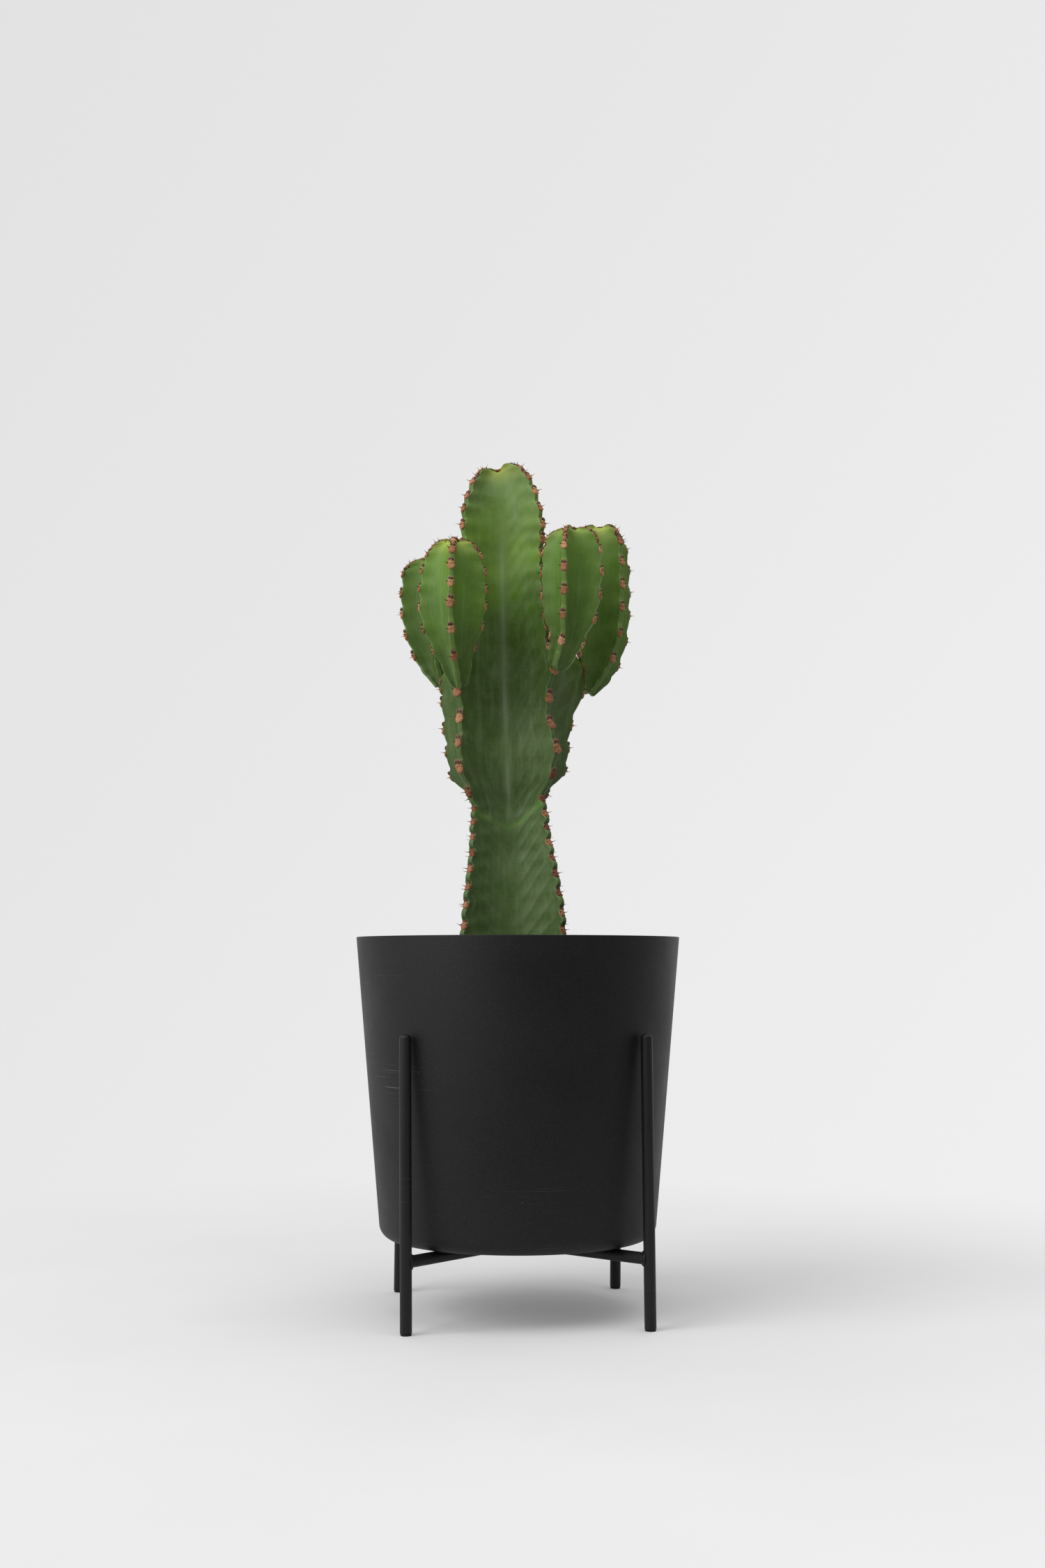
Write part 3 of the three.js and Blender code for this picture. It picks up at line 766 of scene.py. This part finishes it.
def euphorbia_skin(name, tones, rows, waist, marks):
    """Waxy fleshy skin: dark green under a grey bloom that softens its shine, pale along rib
    edges and down the middle of each face, feather streaks between, yellow at the tip. The
    streaks are stronger on the right half of each face, which is painted light, and the
    piece's tone darkens the whole skin, which is painted shade."""
    material, tree, surface = new_material(
        name, Roughness=0.5, IOR=1.42, **{"Specular IOR Level": 0.36})
    node = partial(add_node, tree)
    uv = node("UVMap", uv_map="ribs_and_rows")
    place = node("TexCoord").outputs["Object"]
    across, along, _ = node("SeparateXYZ", {"Vector": uv}).outputs
    toward_middle = node("Attribute", attribute_name="toward_middle").outputs["Fac"]
    painted_branch_shade = node("Attribute", attribute_name="tone").outputs["Fac"]
    # edge is 0 in the middle of a face and 1 on the rib
    whole = node("Math", {0: across}, operation="FRACT")
    off_centre = node("Math", {0: whole, 1: 0.5}, operation="SUBTRACT")
    doubled = node("Math", {0: off_centre, 1: 2}, operation="MULTIPLY")
    edge = node("Math", {0: doubled}, operation="ABSOLUTE")

    # body colour from the oldest growth to the youngest
    height = node("MapRange", {"Value": along, "From Min": 0, "From Max": rows})
    colour = node("ValToRGB", {"Fac": height},
                  stops=[(at, linear(tone)) for at, tone in tones["body"]])

    # unevenness of flesh and bloom: where it is read, its scale, detail and roughness
    along_ribs = node("Mapping", {"Vector": uv, "Scale": (34, 0.55, 1)})
    level = node("Mapping", {"Vector": place, "Scale": (every(17), every(17), every(1.1))})
    noise = {
        key: node("TexNoise", {"Vector": vector, "Scale": scale, "Detail": detail,
                               "Roughness": roughness})
        for key, vector, scale, detail, roughness in (
            ("blotch", place, every(45), 5, 0.6), ("fibre", along_ribs, 1, 5, 0.65),
            ("wobble", place, every(33), 2, 0.55), ("line_break", place, every(80), 2, 0.55),
            ("seam_break", place, every(25), 2, 0.55), ("bloom", place, every(21), 6, 0.7),
            ("rim_break", place, every(17), 2, 0.55), ("striae", level, 1, 4, 0.6),
            ("fleck", place, every(11), 2, 0.55), ("cell", place, every(1.1), 3, 0.6),
            ("dimple", place, every(9), 3, 0.55))
    }
    pores = node("TexVoronoi", {"Vector": place, "Scale": every(3)})

    # feather streaks of pale bloom rise from the middle of the face to the notches; they are
    # stronger on the right half of each face, which is painted light
    wavy = node("Math", {0: noise["wobble"], 1: 0.03, 2: along}, operation="MULTIPLY_ADD")
    slant = node("Math", {0: toward_middle, 1: marks["feather"], 2: wavy},
                 operation="MULTIPLY_ADD")
    shifted = node("Math", {0: slant, 1: STREAK_SHIFT}, operation="ADD")
    phase = node("Math", {0: shifted, 1: 2 * math.pi}, operation="MULTIPLY")
    streak = node("Math", {0: phase}, operation="SINE")
    # the seam where the new season began dips from the ribs to the middle of the face
    dip = node("Math", {0: edge, 1: -SEAM_DIP, 2: along}, operation="MULTIPLY_ADD")
    above_seam = node("Math", {0: dip, 1: waist + 0.35 - SEAM_DIP}, operation="SUBTRACT")
    off_seam = node("Math", {0: above_seam}, operation="ABSOLUTE")

    # masks: what is read, where it starts and ends, and the share at either end
    line_start, line_full, line_fade, line_end = marks["line"]
    mask = {
        key: node("MapRange", {"Value": value, "From Min": start, "From Max": end,
                               "To Min": low, "To Max": high}, interpolation_type="SMOOTHSTEP")
        for key, value, start, end, low, high in (
            ("blotch", noise["blotch"], 0.35, 0.7, 0, 0.5),
            ("fibre", noise["fibre"], 0.45, 0.8, 0, 0.32),
            ("streak", streak, 0.3, 1, 0, 1),
            ("off_middle", toward_middle, 0.96, 0.62, 0, 1),
            ("off_rib", toward_middle, 0.02, 0.16, 0, 1),
            # painted light: the streaks are stronger on the right half of each face, as light from
            # the left shows them there
            ("right_half", whole, 0.45, 0.55, 0.35, 1),
            ("age", along, waist + 1.2, waist - 0.8, marks["young_streak"], marks["old_streak"]),
            ("soft_line", edge, 0.1, 0, 0, 0.34 * marks["centre_line"]),
            ("fine_line", edge, 0.035, 0.008, 0, 0.3 * marks["centre_line"]),
            ("side_line_in", edge, 0.26, 0.31, 0, marks["side_line"]),
            ("side_line_out", edge, 0.37, 0.32, 0, 1),
            ("line_start", along, line_start, line_full, 0, 1),
            ("line_end", along, line_end, line_fade, 0, 1),
            ("line_break", noise["line_break"], 0.2, 0.7, 0, 1),
            ("seam", off_seam, 0.36, 0, 0, 1),
            ("seam_arms", edge, 0, 0.2, 0.4, 1),
            ("seam_right", whole, 0.4, 0.6, 0.6, 1),
            ("seam_break", noise["seam_break"], 0.35, 0.6, 0.35, 0.85),
            ("growing", along, rows - marks["tip"], rows - 0.6, 0, 1),
            ("inside", edge, 0.8, 0.2, 0, 1),
            ("bloom", noise["bloom"], 0.38, 0.75, 0, 1),
            ("crest", edge, 0.58, 0.72, 0, 1),
            ("rim_in", edge, 0.625, 0.665, 0, 1),
            ("rim_out", edge, 0.71, 0.67, 0, 1),
            ("rim_break", noise["rim_break"], 0.25, 0.6, 0.45, 1),
            ("striae_light", noise["striae"], 0.48, 0.75, 0, 0.09),
            ("striae_dark", noise["striae"], 0.5, 0.3, 0, 0.09),
            ("pore", pores, 0.16, 0.06, 0, 1),
            ("fleck", noise["fleck"], 0.6, 0.72, 0, 1),
            ("dry", noise["bloom"], 0.3, 0.7, 0.42, 0.62))
    }
    centre_line = node("Math", {0: mask["soft_line"], 1: mask["fine_line"]}, operation="ADD")
    mask["lines"] = node("Math", {0: mask["side_line_in"], 1: mask["side_line_out"],
                                  2: centre_line}, operation="MULTIPLY_ADD")

    # layers of colour from the flesh outwards: tone, strength and where it shows
    for tone, strength, where in (
            ("deep", 1, ("blotch",)),
            ("bloom", 1, ("fibre",)),
            ("bloom", 1, ("streak", "off_middle", "off_rib", "right_half", "age")),
            ("pale", 1, ("lines", "line_start", "line_end", "line_break")),
            ("fresh", marks["seam"], ("seam", "seam_arms", "seam_right", "seam_break")),
            ("tip", 0.75, ("growing", "inside")),
            ("bloom", marks["bloom"], ("bloom",)),
            ("crest", marks["crest"], ("crest",)),
            ("rim", marks["rim"], ("rim_in", "rim_out", "rim_break")),
            ("bloom", 1, ("striae_light",)),
            ("deep", 1, ("striae_dark",)),
            ("pore", 0.5, ("pore", "fleck"))):
        share = strength
        for key in where:
            share = node("Math", {0: mask[key], 1: share}, operation="MULTIPLY")
        colour = node("Mix", {"Factor": share, 6: colour, 7: linear(tones[tone])},
                      data_type="RGBA").outputs[2]
    # painted shade: the skin is darkened by the piece's tone, most on the branches that stand in
    # shade
    toned = node("HueSaturation", {"Value": painted_branch_shade, "Color": colour})
    # relief: fine cells over soft dimples and level striae
    relief = 0
    for key, depth in (("cell", 0.35), ("dimple", 0.25), ("striae", 0.12)):
        relief = node("Math", {0: noise[key], 1: depth, 2: relief}, operation="MULTIPLY_ADD")
    bump = node("Bump", {"Strength": 0.28, "Distance": 0.0006, "Height": relief})
    fill_sockets(surface, {"Base Color": toned, "Roughness": mask["dry"], "Normal": bump})
    return material


MAIN_TONES = {
    "body": ((0.0, "47602c"), (0.36, "476030"), (0.44, "3f5724"), (0.56, "3c5716"),
             (0.66, "4f7318"), (0.74, "668a20"), (0.82, "678830"), (0.9, "5f7d38"),
             (1.0, "6d8c3c")),
    "deep": "2f4712", "bloom": "7c8c64", "pale": "8b9a78", "fresh": "5f8f32",
    "tip": "9a9c2c", "crest": "5f7c3c", "rim": "9aa87c", "pore": "1f2a14",
}
main_skin = euphorbia_skin(
    "waxy_skin_of_old_growth", MAIN_TONES, len(MAIN_ROWS) - 1, WAIST_ROW,
    {"feather": 2.7, "young_streak": 0.08, "old_streak": 0.2, "line": (10.2, 11.6, 23, 26),
     "centre_line": 1.0, "side_line": 0.16, "seam": 0.85, "tip": 3.6, "bloom": 0.22,
     "crest": 0.2, "rim": 0.5})

MAIN = {
    "turns": MAIN_TURNS, "rows": MAIN_ROWS, "axis": MAIN_AXIS, "height_column": (0, 1, 6, 0),
    "reach_column": (2, 3, 4, 5), "waist": WAIST_ROW, "valley": VALLEY_SHARE, "wing": 0.28,
    "crest": 3.3, "lobe": 3.5, "feather": 2.7, "ripple": 0.7, "widest": 60.0,
    "around": 60, "tone": 1.0,
}
main_stem = ribbed_skin("main_stem_skin", MAIN)
finish_piece(main_stem, "main_stem_skin", main_skin, "plant_skin", "main_stem")


# ---------------------------------------------------------------- branches
# First-year branches grown out of the main stem's rib edges, each narrow at the base,
# swelling to four sharp ribs and closing over at the tip. Softer, yellower skin.
# Rows are height and reach of the ribs; the axis is height, x and y.
# Each branch's tone darkens its whole skin: painted shade, none on the front left branch and most
# on the back left one.
BRANCHES = {
    "branch_front_left": {
        "tone": 1.0,
        "turn": -2,
        "rows": [[656, 6], [661, 10.5], [674, 15.5], [692, 22], [713, 31], [735, 34.5],
                 [754, 34.5], [773, 32.5], [790, 27.5], [801, 19], [805, 10], [803, 4]],
        "axis": [[644, -61, -49.5], [660, -62, -59.5], [675, -64, -72], [692, -66.5, -84.5],
                 [713, -67.5, -91], [740, -68, -93], [815, -66, -93]],
    },
    "branch_front_right": {
        "tone": 0.9,
        "turn": -16,
        "rows": [[674, 6], [679, 11.5], [689, 14.5], [704, 18.5], [727, 27.5], [751, 31.5],
                 [775, 32.5], [798, 31], [814, 25], [821, 14], [819, 4]],
        "axis": [[658, 36, -52.5], [672, 40.5, -59.5], [688, 46.4, -67], [705, 52, -73.5],
                 [725, 54.5, -76], [750, 56.5, -77], [830, 57, -77]],
    },
    "branch_back_right": {
        "tone": 0.9,
        "turn": 35,
        "rows": [[668, 8], [677, 13], [688, 20], [706, 28], [733, 36], [762, 39.5], [788, 40],
                 [814, 39.5], [838, 36], [852, 28], [859, 15], [856, 5]],
        "axis": [[660, 76, 64], [674, 82, 68], [688, 87, 71], [710, 91.5, 73.3],
                 [732, 93.5, 74], [762, 94, 75], [865, 94, 75]],
    },
    "branch_back_left": {
        "tone": 0.71,
        "turn": 11,
        "rows": [[674, 7], [683, 11], [693, 16], [709, 23.5], [732, 32], [756, 36.5],
                 [780, 37.5], [803, 35], [814, 27], [820, 14], [817, 5]],
        "axis": [[664, -83, 52], [680, -88, 56.5], [700, -93.5, 61.5], [732, -95, 64],
                 [780, -95, 65], [830, -95, 65]],
    },
}
YOUNG_TONES = {
    "body": ((0.0, "54703a"), (0.3, "507124"), (0.6, "5c8226"), (0.85, "6f9430"),
             (1.0, "8fab40")),
    "deep": "3a5a16", "bloom": "84965e", "pale": "8f9f70", "fresh": "66843c",
    "tip": "bcc650", "crest": "76924a", "rim": "adb87c", "pore": "1f2a14",
}
young_skin = euphorbia_skin(
    "waxy_skin_of_young_growth", YOUNG_TONES, 11, -3,
    {"feather": 1.6, "young_streak": 0.05, "old_streak": 0.05, "line": (1.5, 3, 6, 8),
     "centre_line": 0.2, "side_line": 0.0, "seam": 0.0, "tip": 3.6, "bloom": 0.2,
     "crest": 0.5, "rim": 0.4})

stems = {"main_stem": MAIN}
for name, branch in BRANCHES.items():
    stem = {
        "turns": tuple(branch["turn"] + 90 * k for k in range(4)),
        "rows": np.array(branch["rows"], dtype=float),
        "axis": np.array(branch["axis"], dtype=float),
        "height_column": (0, 0, 0, 0), "reach_column": (1, 1, 1, 1), "waist": -3,
        "valley": 0.46, "wing": 0.3, "crest": 2.7, "lobe": 2.4, "feather": 1.6,
        "ripple": 0.15, "widest": 32.0, "around": 36, "tone": branch["tone"],
    }
    stems[name] = stem
    skin = ribbed_skin(f"{name}_skin", stem)
    finish_piece(skin, f"{name}_skin", young_skin, "young_skin", name)


# ---------------------------------------------------------------- spine pads
# Corky shields in a row down every rib edge: a rounded tan plate, above it a small eye
# with a pale rim and a dark pit, and a pair of short stiff spines that point sideways.
# dry tan cork, rough and without shine: it stands out warm against the green
pad_cork, cork_tree, cork_surface = new_material("dry_cork_shield", Roughness=0.85)
cork_tone, cork_noise = shaded_by_piece(
    cork_tree, 2.4, 0.55, ((0.2, "4a2311"), (0.5, "8a5635"), (0.8, "b6825a"), (1, "d2a67e")),
    Detail=5, Roughness=0.7)
cork_place = add_node(cork_tree, "TexCoord").outputs["Object"]
cork_pits = add_node(cork_tree, "TexVoronoi", {"Vector": cork_place, "Scale": every(1.3)})
cork_pit_mask = add_node(cork_tree, "MapRange", {"Value": cork_pits, "From Min": 0.34,
                                                 "From Max": 0.14, "To Max": 0.55})
cork_mottled = add_node(cork_tree, "Mix",
                        {"Factor": cork_pit_mask, 6: cork_tone, 7: linear("4a2818")},
                        data_type="RGBA")
cork_bump = add_node(cork_tree, "Bump",
                     {"Strength": 0.9, "Distance": 0.001, "Height": cork_noise})
fill_sockets(cork_surface, {"Base Color": cork_mottled.outputs[2], "Normal": cork_bump})

# callus is a dull pale ring, the scale inside it brown, the pits dark dots; the spine is
# dark horn, smooth enough for a faint shine
eye_rim = mottled("pale_callus_rim", 0.8, 2, (0.3, "6e5039"), (0.7, "a08868"))
scale_brown = mottled("dried_bud_scale", 0.8, 1.7, (0.3, "4a2c1e"), (0.7, "84603f"))
pit_brown = mottled("bud_pit", 0.7, 1.4, (0.3, "1c0f0a"), (0.75, "45261a"))
spine_horn = mottled("woody_spine", 0.55, 3.3, (0.3, "2a1912"), (0.7, "684736"))

CORK, RIM_SLOT, SCALE, PIT, HORN = 0, 1, 2, 3, 4
PAD_SINK = 0.25


def lump_shape(slot_index, size, place, segments=10, rings=6, rough=0.0, seed=0):
    """A flattened, uneven ball, in millimetres, sitting on the rib's edge."""
    bpy.ops.mesh.primitive_uv_sphere_add(segments=segments, ring_count=rings, radius=1)
    shape = bpy.context.object
    pull = np.random.default_rng(seed).uniform(-1, 1, (5, 3))
    for vertex in shape.data.vertices:
        x, y, z = vertex.co
        uneven = sum(math.sin(4.5 * (x * a + y * b + z * c) + 2 * i)
                     for i, (a, b, c) in enumerate(pull))
        swell = 1 + rough * uneven
        flat_top = z if z <= 0 else z**0.7
        vertex.co = (x * size[0] * swell + place[0], y * size[1] * swell + place[1],
                     flat_top * size[2] * (1 + 1.6 * rough * uneven) + place[2])
    return take_shape(slot_index)


def ring_shape(slot_index, radii, thick, place):
    """An oval raised ring, in millimetres."""
    bpy.ops.mesh.primitive_torus_add(
        major_segments=12, minor_segments=5, major_radius=1, minor_radius=thick)
    shape = bpy.context.object
    for vertex in shape.data.vertices:
        x, y, z = vertex.co
        vertex.co = (x * radii[0] + place[0], y * radii[1] + place[1], z * 2.6 + place[2])
    return take_shape(slot_index)


def spine_shape(slot_index, root, toward, length, thick):
    """A stiff spine: a cone on a swollen foot, bent a little."""
    bpy.ops.mesh.primitive_cone_add(vertices=6, radius1=1, radius2=0.12, depth=1)
    shape = bpy.context.object
    pick(shape, "EDGE", lambda a, b: abs(a.z - b.z) > 0.5)
    bpy.ops.mesh.subdivide(number_cuts=2)
    bpy.ops.object.mode_set(mode="OBJECT")
    basis = Vector(toward).normalized().to_track_quat("Z", "Y").to_matrix()
    for vertex in shape.data.vertices:
        x, y, z = vertex.co
        up = z + 0.5
        swell = thick * (1.5 - 0.6 * min(up * 3, 1))
        local = Vector((x * swell, y * swell + 0.35 * up * up, up * length))
        vertex.co = Vector(root) + basis @ local
    return take_shape(slot_index)


def pad_shape(seed, plate, cap, spine, spine_out):
    """One whole pad in millimetres: x across the rib, y up the rib, z out of it."""
    wide, tall, thick = plate
    cap_wide, cap_tall = cap
    cap_place = tall + cap_tall * 0.5
    eye = (cap_wide * 0.3, cap_tall * 0.42, 0.7)
    shapes = [
        lump_shape(CORK, (wide, tall, thick), (0, 0, 0), 16, 9, rough=0.05, seed=seed),
        lump_shape(CORK, (wide * 0.8, tall * 0.5, thick * 0.62),
                   (wide * 0.1, -tall * 0.48, thick * 0.42), 9, 6, rough=0.08, seed=seed + 40),
        lump_shape(CORK, (wide * 0.7, tall * 0.42, thick * 0.6),
                   (-wide * 0.15, tall * 0.5, thick * 0.4), 9, 6, rough=0.08, seed=seed + 60),
        lump_shape(SCALE, (cap_wide, cap_tall, 1.1), (0, cap_place, 0), 12, 6, 0.05, seed + 80),
        ring_shape(RIM_SLOT, (cap_wide * 0.96, cap_tall), 0.12, (0, cap_place, 0.3)),
        lump_shape(PIT, eye, (-cap_wide * 0.42, cap_place, 0.75), 8, 5),
        lump_shape(PIT, eye, (cap_wide * 0.42, cap_place, 0.75), 8, 5),
    ]
    for hand in (-1, 1):
        foot = (hand * wide * 0.8, tall * 0.3, thick * 0.4)
        shapes.append(lump_shape(SCALE, (0.65, 0.65, 0.6), foot, 6, 5))
        shapes.append(spine_shape(HORN, foot, (hand, 0.12, spine_out), spine, 0.5))
    return join_shapes(*shapes)


# pads above the waist are broad, those of the old growth narrower, the youngest small
pad_kinds = {
    "broad": [pad_shape(s, (5.2, 5.0, 1.7), (4.3, 2.9), 4.8, 0.7) for s in (11, 12)],
    "lower": [pad_shape(s, (4.0, 4.4, 2.1), (3.3, 2.4), 5.2, 1.0) for s in (13, 14)],
    "young": [pad_shape(s, (3.8, 4.4, 1.7), (2.9, 2.1), 4.8, 0.9) for s in (15, 16)],
    "tip": [pad_shape(s, (3.0, 2.8, 1.5), (2.2, 1.6), 4.8, 1.4) for s in (17, 18)],
    "crust": [lump_shape(CORK, (2.7, 2.3, 1.9), (0, 0, 0), 9, 6, rough=0.09, seed=s)
              for s in (19, 20)],
}
pad_prototypes = [shape for kinds in pad_kinds.values() for shape in kinds]
first_of_kind = {kind: 2 * i for i, kind in enumerate(pad_kinds)}


def edge_frame(stem, rib, at):
    """Place on a rib's edge with its directions: across, up the edge and outward."""
    rows = np.clip([at, at - 0.12, at + 0.12], 0, len(stem["rows"]) - 1)
    height, smooth, edge = rib_edge(stem, rib, rows)
    turn = np.full(3, math.radians(stem["turns"][rib]))
    centre, below, above = beside_axis(stem["axis"], height, turn, edge, np.zeros(3))
    _, below_s, above_s = beside_axis(stem["axis"], height, turn, smooth, np.zeros(3))
    up = unit(((above - below) * 0.35 + (above_s - below_s) * 0.65)[None])[0]
    outward = np.array([math.sin(turn[0]), -math.cos(turn[0]), 0.0])
    side = unit(np.cross(up, outward)[None])[0]
    return centre, side, up, np.cross(side, up)


def pad_place(stem, rib, at, size, jitter):
    """Where a pad sits: sunk a little into a rib's edge, turned by a small angle."""
    centre, side, up, outward = edge_frame(stem, rib, at)
    basis = Matrix((Vector(side), Vector(up), Vector(outward))).transposed().to_4x4()
    place = Matrix.Translation(Vector(centre - outward * PAD_SINK) * 0.001)
    spin = Matrix.Rotation(jitter, 4, "Z")
    return place @ basis @ spin @ Matrix.Scale(0.001 * size, 4)


# height and size of the large pad under each branch, by the rib of the main stem
JOINTS = {0: (653, 1.2), 1: (673, 1.25), 2: (662, 1.1), 3: (669, 1.0)}
# millimetres along the rib, below and above a large pad, that hold no other pad
CLEAR_BELOW = 13
CLEAR_ABOVE = 24
# in rows: where the broad pads of the main stem end, and how the pads crowd at a tip
BROAD_END = 19
TIP_CROWD = 2.8
TIP_STEP = 0.22
# cork over the growing point: how many lumps, and how high in millimetres
CROWN_LUMPS = 11
CROWN_RISE = 1.8
pad_random = np.random.default_rng(42)


def pad_at(stem, rib, at, kind, size, tone, turn):
    """A pad of one kind for stamping, one of its two shapes, turned at random."""
    which = first_of_kind[kind] + int(pad_random.integers(2))
    place = pad_place(stem, rib, at, size, pad_random.normal(0, turn))
    return which, place, tone


for name, stem in stems.items():
    last = len(stem["rows"]) - 1
    whole_stem = name == "main_stem"
    places = []
    for rib in range(4):
        heights = stem["rows"][:, stem["height_column"][rib]]
        joints = [JOINTS[rib]] if whole_stem else []
        for row in range(4 if whole_stem else 3, last - 1):
            if any(-CLEAR_BELOW < heights[row] - height < CLEAR_ABOVE for height, _ in joints):
                continue
            size = pad_random.uniform(0.92, 1.12)
            tone = pad_random.uniform(0.3, 0.62)
            if whole_stem and row < stem["waist"] + 0.8:
                kind, tone = "lower", pad_random.uniform(0.05, 0.42)
            elif whole_stem and row < BROAD_END:
                kind = "broad"
            elif row > last - 3:
                kind = "tip"
            else:
                kind = "young"
            places.append(pad_at(stem, rib, row - 0.06, kind, size, tone, 0.09))
        # the youngest pads crowd together and run down into the hollow of the tip
        for number, at in enumerate(np.arange(last - TIP_CROWD, last - 0.05, TIP_STEP)):
            size = pad_random.uniform(0.85, 1.15) * (1 - 0.2 * (at - last + TIP_CROWD) / TIP_CROWD)
            places.append(pad_at(stem, rib, float(at), "tip" if number % 4 == 1 else "crust",
                                 size, pad_random.uniform(-0.05, 0.42), 0.5))
        for height, size in joints:
            at = float(np.interp(height, heights[:last], np.arange(last)))
            places.append(pad_at(stem, rib, at, "broad", size, 0.4, 0.1))
    # a small crown of cork over the growing point
    top = read_axis(stem["axis"], np.array([stem["rows"][last, 0] + CROWN_RISE]))[0]
    for number in range(CROWN_LUMPS):
        spread = 1.5 * math.sqrt(number)
        offset = (spread * math.cos(2.4 * number), spread * math.sin(2.4 * number), 0)
        places.append((first_of_kind["crust"] + number % 2,
                       Matrix.Translation(Vector(top + offset) * 0.001)
                       @ Matrix.Rotation(number, 4, "Z")
                       @ Matrix.Scale(0.001 * pad_random.uniform(0.75, 1.05), 4),
                       pad_random.uniform(-0.1, 0.25)))
    pads = stamp(f"{name}_pads", pad_prototypes, places)
    for material in (pad_cork, eye_rim, scale_brown, pit_brown, spine_horn):
        pads.data.materials.append(material)
    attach(pads, "root")


# ---------------------------------------------------------------- corky joints
# Where a branch broke through the rib's edge the skin healed over with a reddish line of
# cork, rough and beaded, along the line where branch and rib meet.
JOINT_REACH = 0.0009
JOINT_SPACING = 0.0008
scar_lumps = [lump_shape(CORK, (1, 1, 0.8), (0, 0, 0), 8, 6, rough=0.1, seed=s)
              for s in (31, 32, 33)]
trunk = BVHTree.FromPolygons([v.co for v in main_stem.data.vertices],
                             [p.vertices for p in main_stem.data.polygons])
scar_places = []
for name in BRANCHES:
    met = []
    for vertex in bpy.data.objects[f"{name}_skin"].data.vertices:
        nearest, _, _, distance = trunk.find_nearest(vertex.co)
        if distance < JOINT_REACH and all((nearest - other).length > JOINT_SPACING
                                          for other in met):
            met.append(nearest)
    for spot in met:
        size = pad_random.uniform(0.8, 1.5)
        spin = Matrix.Rotation(pad_random.uniform(0, 6.28), 4, "Z")
        spin = spin @ Matrix.Rotation(pad_random.uniform(0, 3.14), 4, "X")
        scar_places.append((int(pad_random.integers(3)),
                            Matrix.Translation(spot) @ spin @ Matrix.Scale(0.001 * size, 4),
                            pad_random.uniform(0.0, 0.35)))
scars = stamp("corky_branch_joints", scar_lumps, scar_places)
finish_piece(scars, "corky_branch_joints", pad_cork, "plant_skin")


# ---------------------------------------------------------------- floor and light
# A pale matt floor that fades into the pale room, one broad soft light from the left and
# a weak fill; the room itself gives the rest.
# strength of the room's light from beyond the object and from before it
ROOM_BEYOND = 0.82
ROOM_BEFORE = 0.27
# dull light grey paint, hardly mottled; it fades away with distance from the object
floor_finish, floor_tree, floor_surface = new_material("matt_painted_floor", Roughness=0.9)
floor_place = add_node(floor_tree, "TexCoord").outputs["Object"]
floor_noise = add_node(floor_tree, "TexNoise",
                       {"Vector": floor_place, "Scale": every(330), "Detail": 4})
floor_tone = add_node(floor_tree, "ValToRGB", {"Fac": floor_noise},
                      stops=[(0.3, linear("d6d6d6")), (0.7, linear("dbdbdb"))])
fill_sockets(floor_surface, {"Base Color": floor_tone})
floor_far = add_node(floor_tree, "VectorMath", {0: floor_place}, operation="LENGTH")
floor_fade = add_node(floor_tree, "MapRange",
                      {"Value": floor_far.outputs["Value"], "From Min": 0.26, "From Max": 1.3,
                       "To Min": 0.13}, interpolation_type="SMOOTHSTEP")
floor_gone = add_node(floor_tree, "BsdfTransparent")
floor_mix = add_node(floor_tree, "MixShader", {0: floor_fade, 1: floor_surface, 2: floor_gone})
floor_out = next(n for n in floor_tree.nodes if n.bl_idname == "ShaderNodeOutputMaterial")
fill_sockets(floor_out, {"Surface": floor_mix})
bpy.ops.mesh.primitive_plane_add(size=10, location=(0, 0, 0))
floor = bpy.context.object
floor.name = "floor"
floor.data.materials.append(floor_finish)

room = bpy.data.worlds.new("room")
bpy.context.scene.world = room
room.use_nodes = True
room.node_tree.nodes.clear()
room_node = partial(add_node, room.node_tree)
room_way = room_node("TexCoord").outputs["Generated"]
room_axis = room_node("VectorMath", {0: room_way, 1: (-0.55, 0.8, 0.1)}, operation="DOT_PRODUCT")
room_tone = room_node("MapRange",
                      {"Value": room_axis.outputs["Value"], "From Min": -0.62, "From Max": 0.48,
                       "To Min": ROOM_BEFORE, "To Max": ROOM_BEYOND})
room_side = room_node("VectorMath", {0: room_way, 1: (0.13, 0, -0.1)}, operation="DOT_PRODUCT")
room_level = room_node("Math", {0: room_side.outputs["Value"], 1: 1.01}, operation="ADD")
room_all = room_node("Math", {0: room_tone, 1: room_level}, operation="MULTIPLY")
room_light = room_node("Background", {"Color": WHITE, "Strength": room_all})
room_node("OutputWorld", {"Surface": room_light})


def soft_light(name, place, aim, size, power):
    """A square soft light pointed at a place."""
    bpy.ops.object.light_add(type="AREA", location=place)
    light = bpy.context.object
    light.name = name
    light.data.shape = "SQUARE"
    light.data.size = size
    light.data.energy = power
    direction = Vector(aim) - Vector(place)
    light.rotation_euler = direction.to_track_quat("-Z", "Y").to_euler()


soft_light("window", (-3.2, -2.4, 3.2), (0, 0, 0.5), 3.4, 157)
soft_light("overhead", (0.5, -0.8, 3.1), (0.1, 0, 0.3), 2.3, 37)
bpy.context.scene.view_settings.view_transform = "Standard"
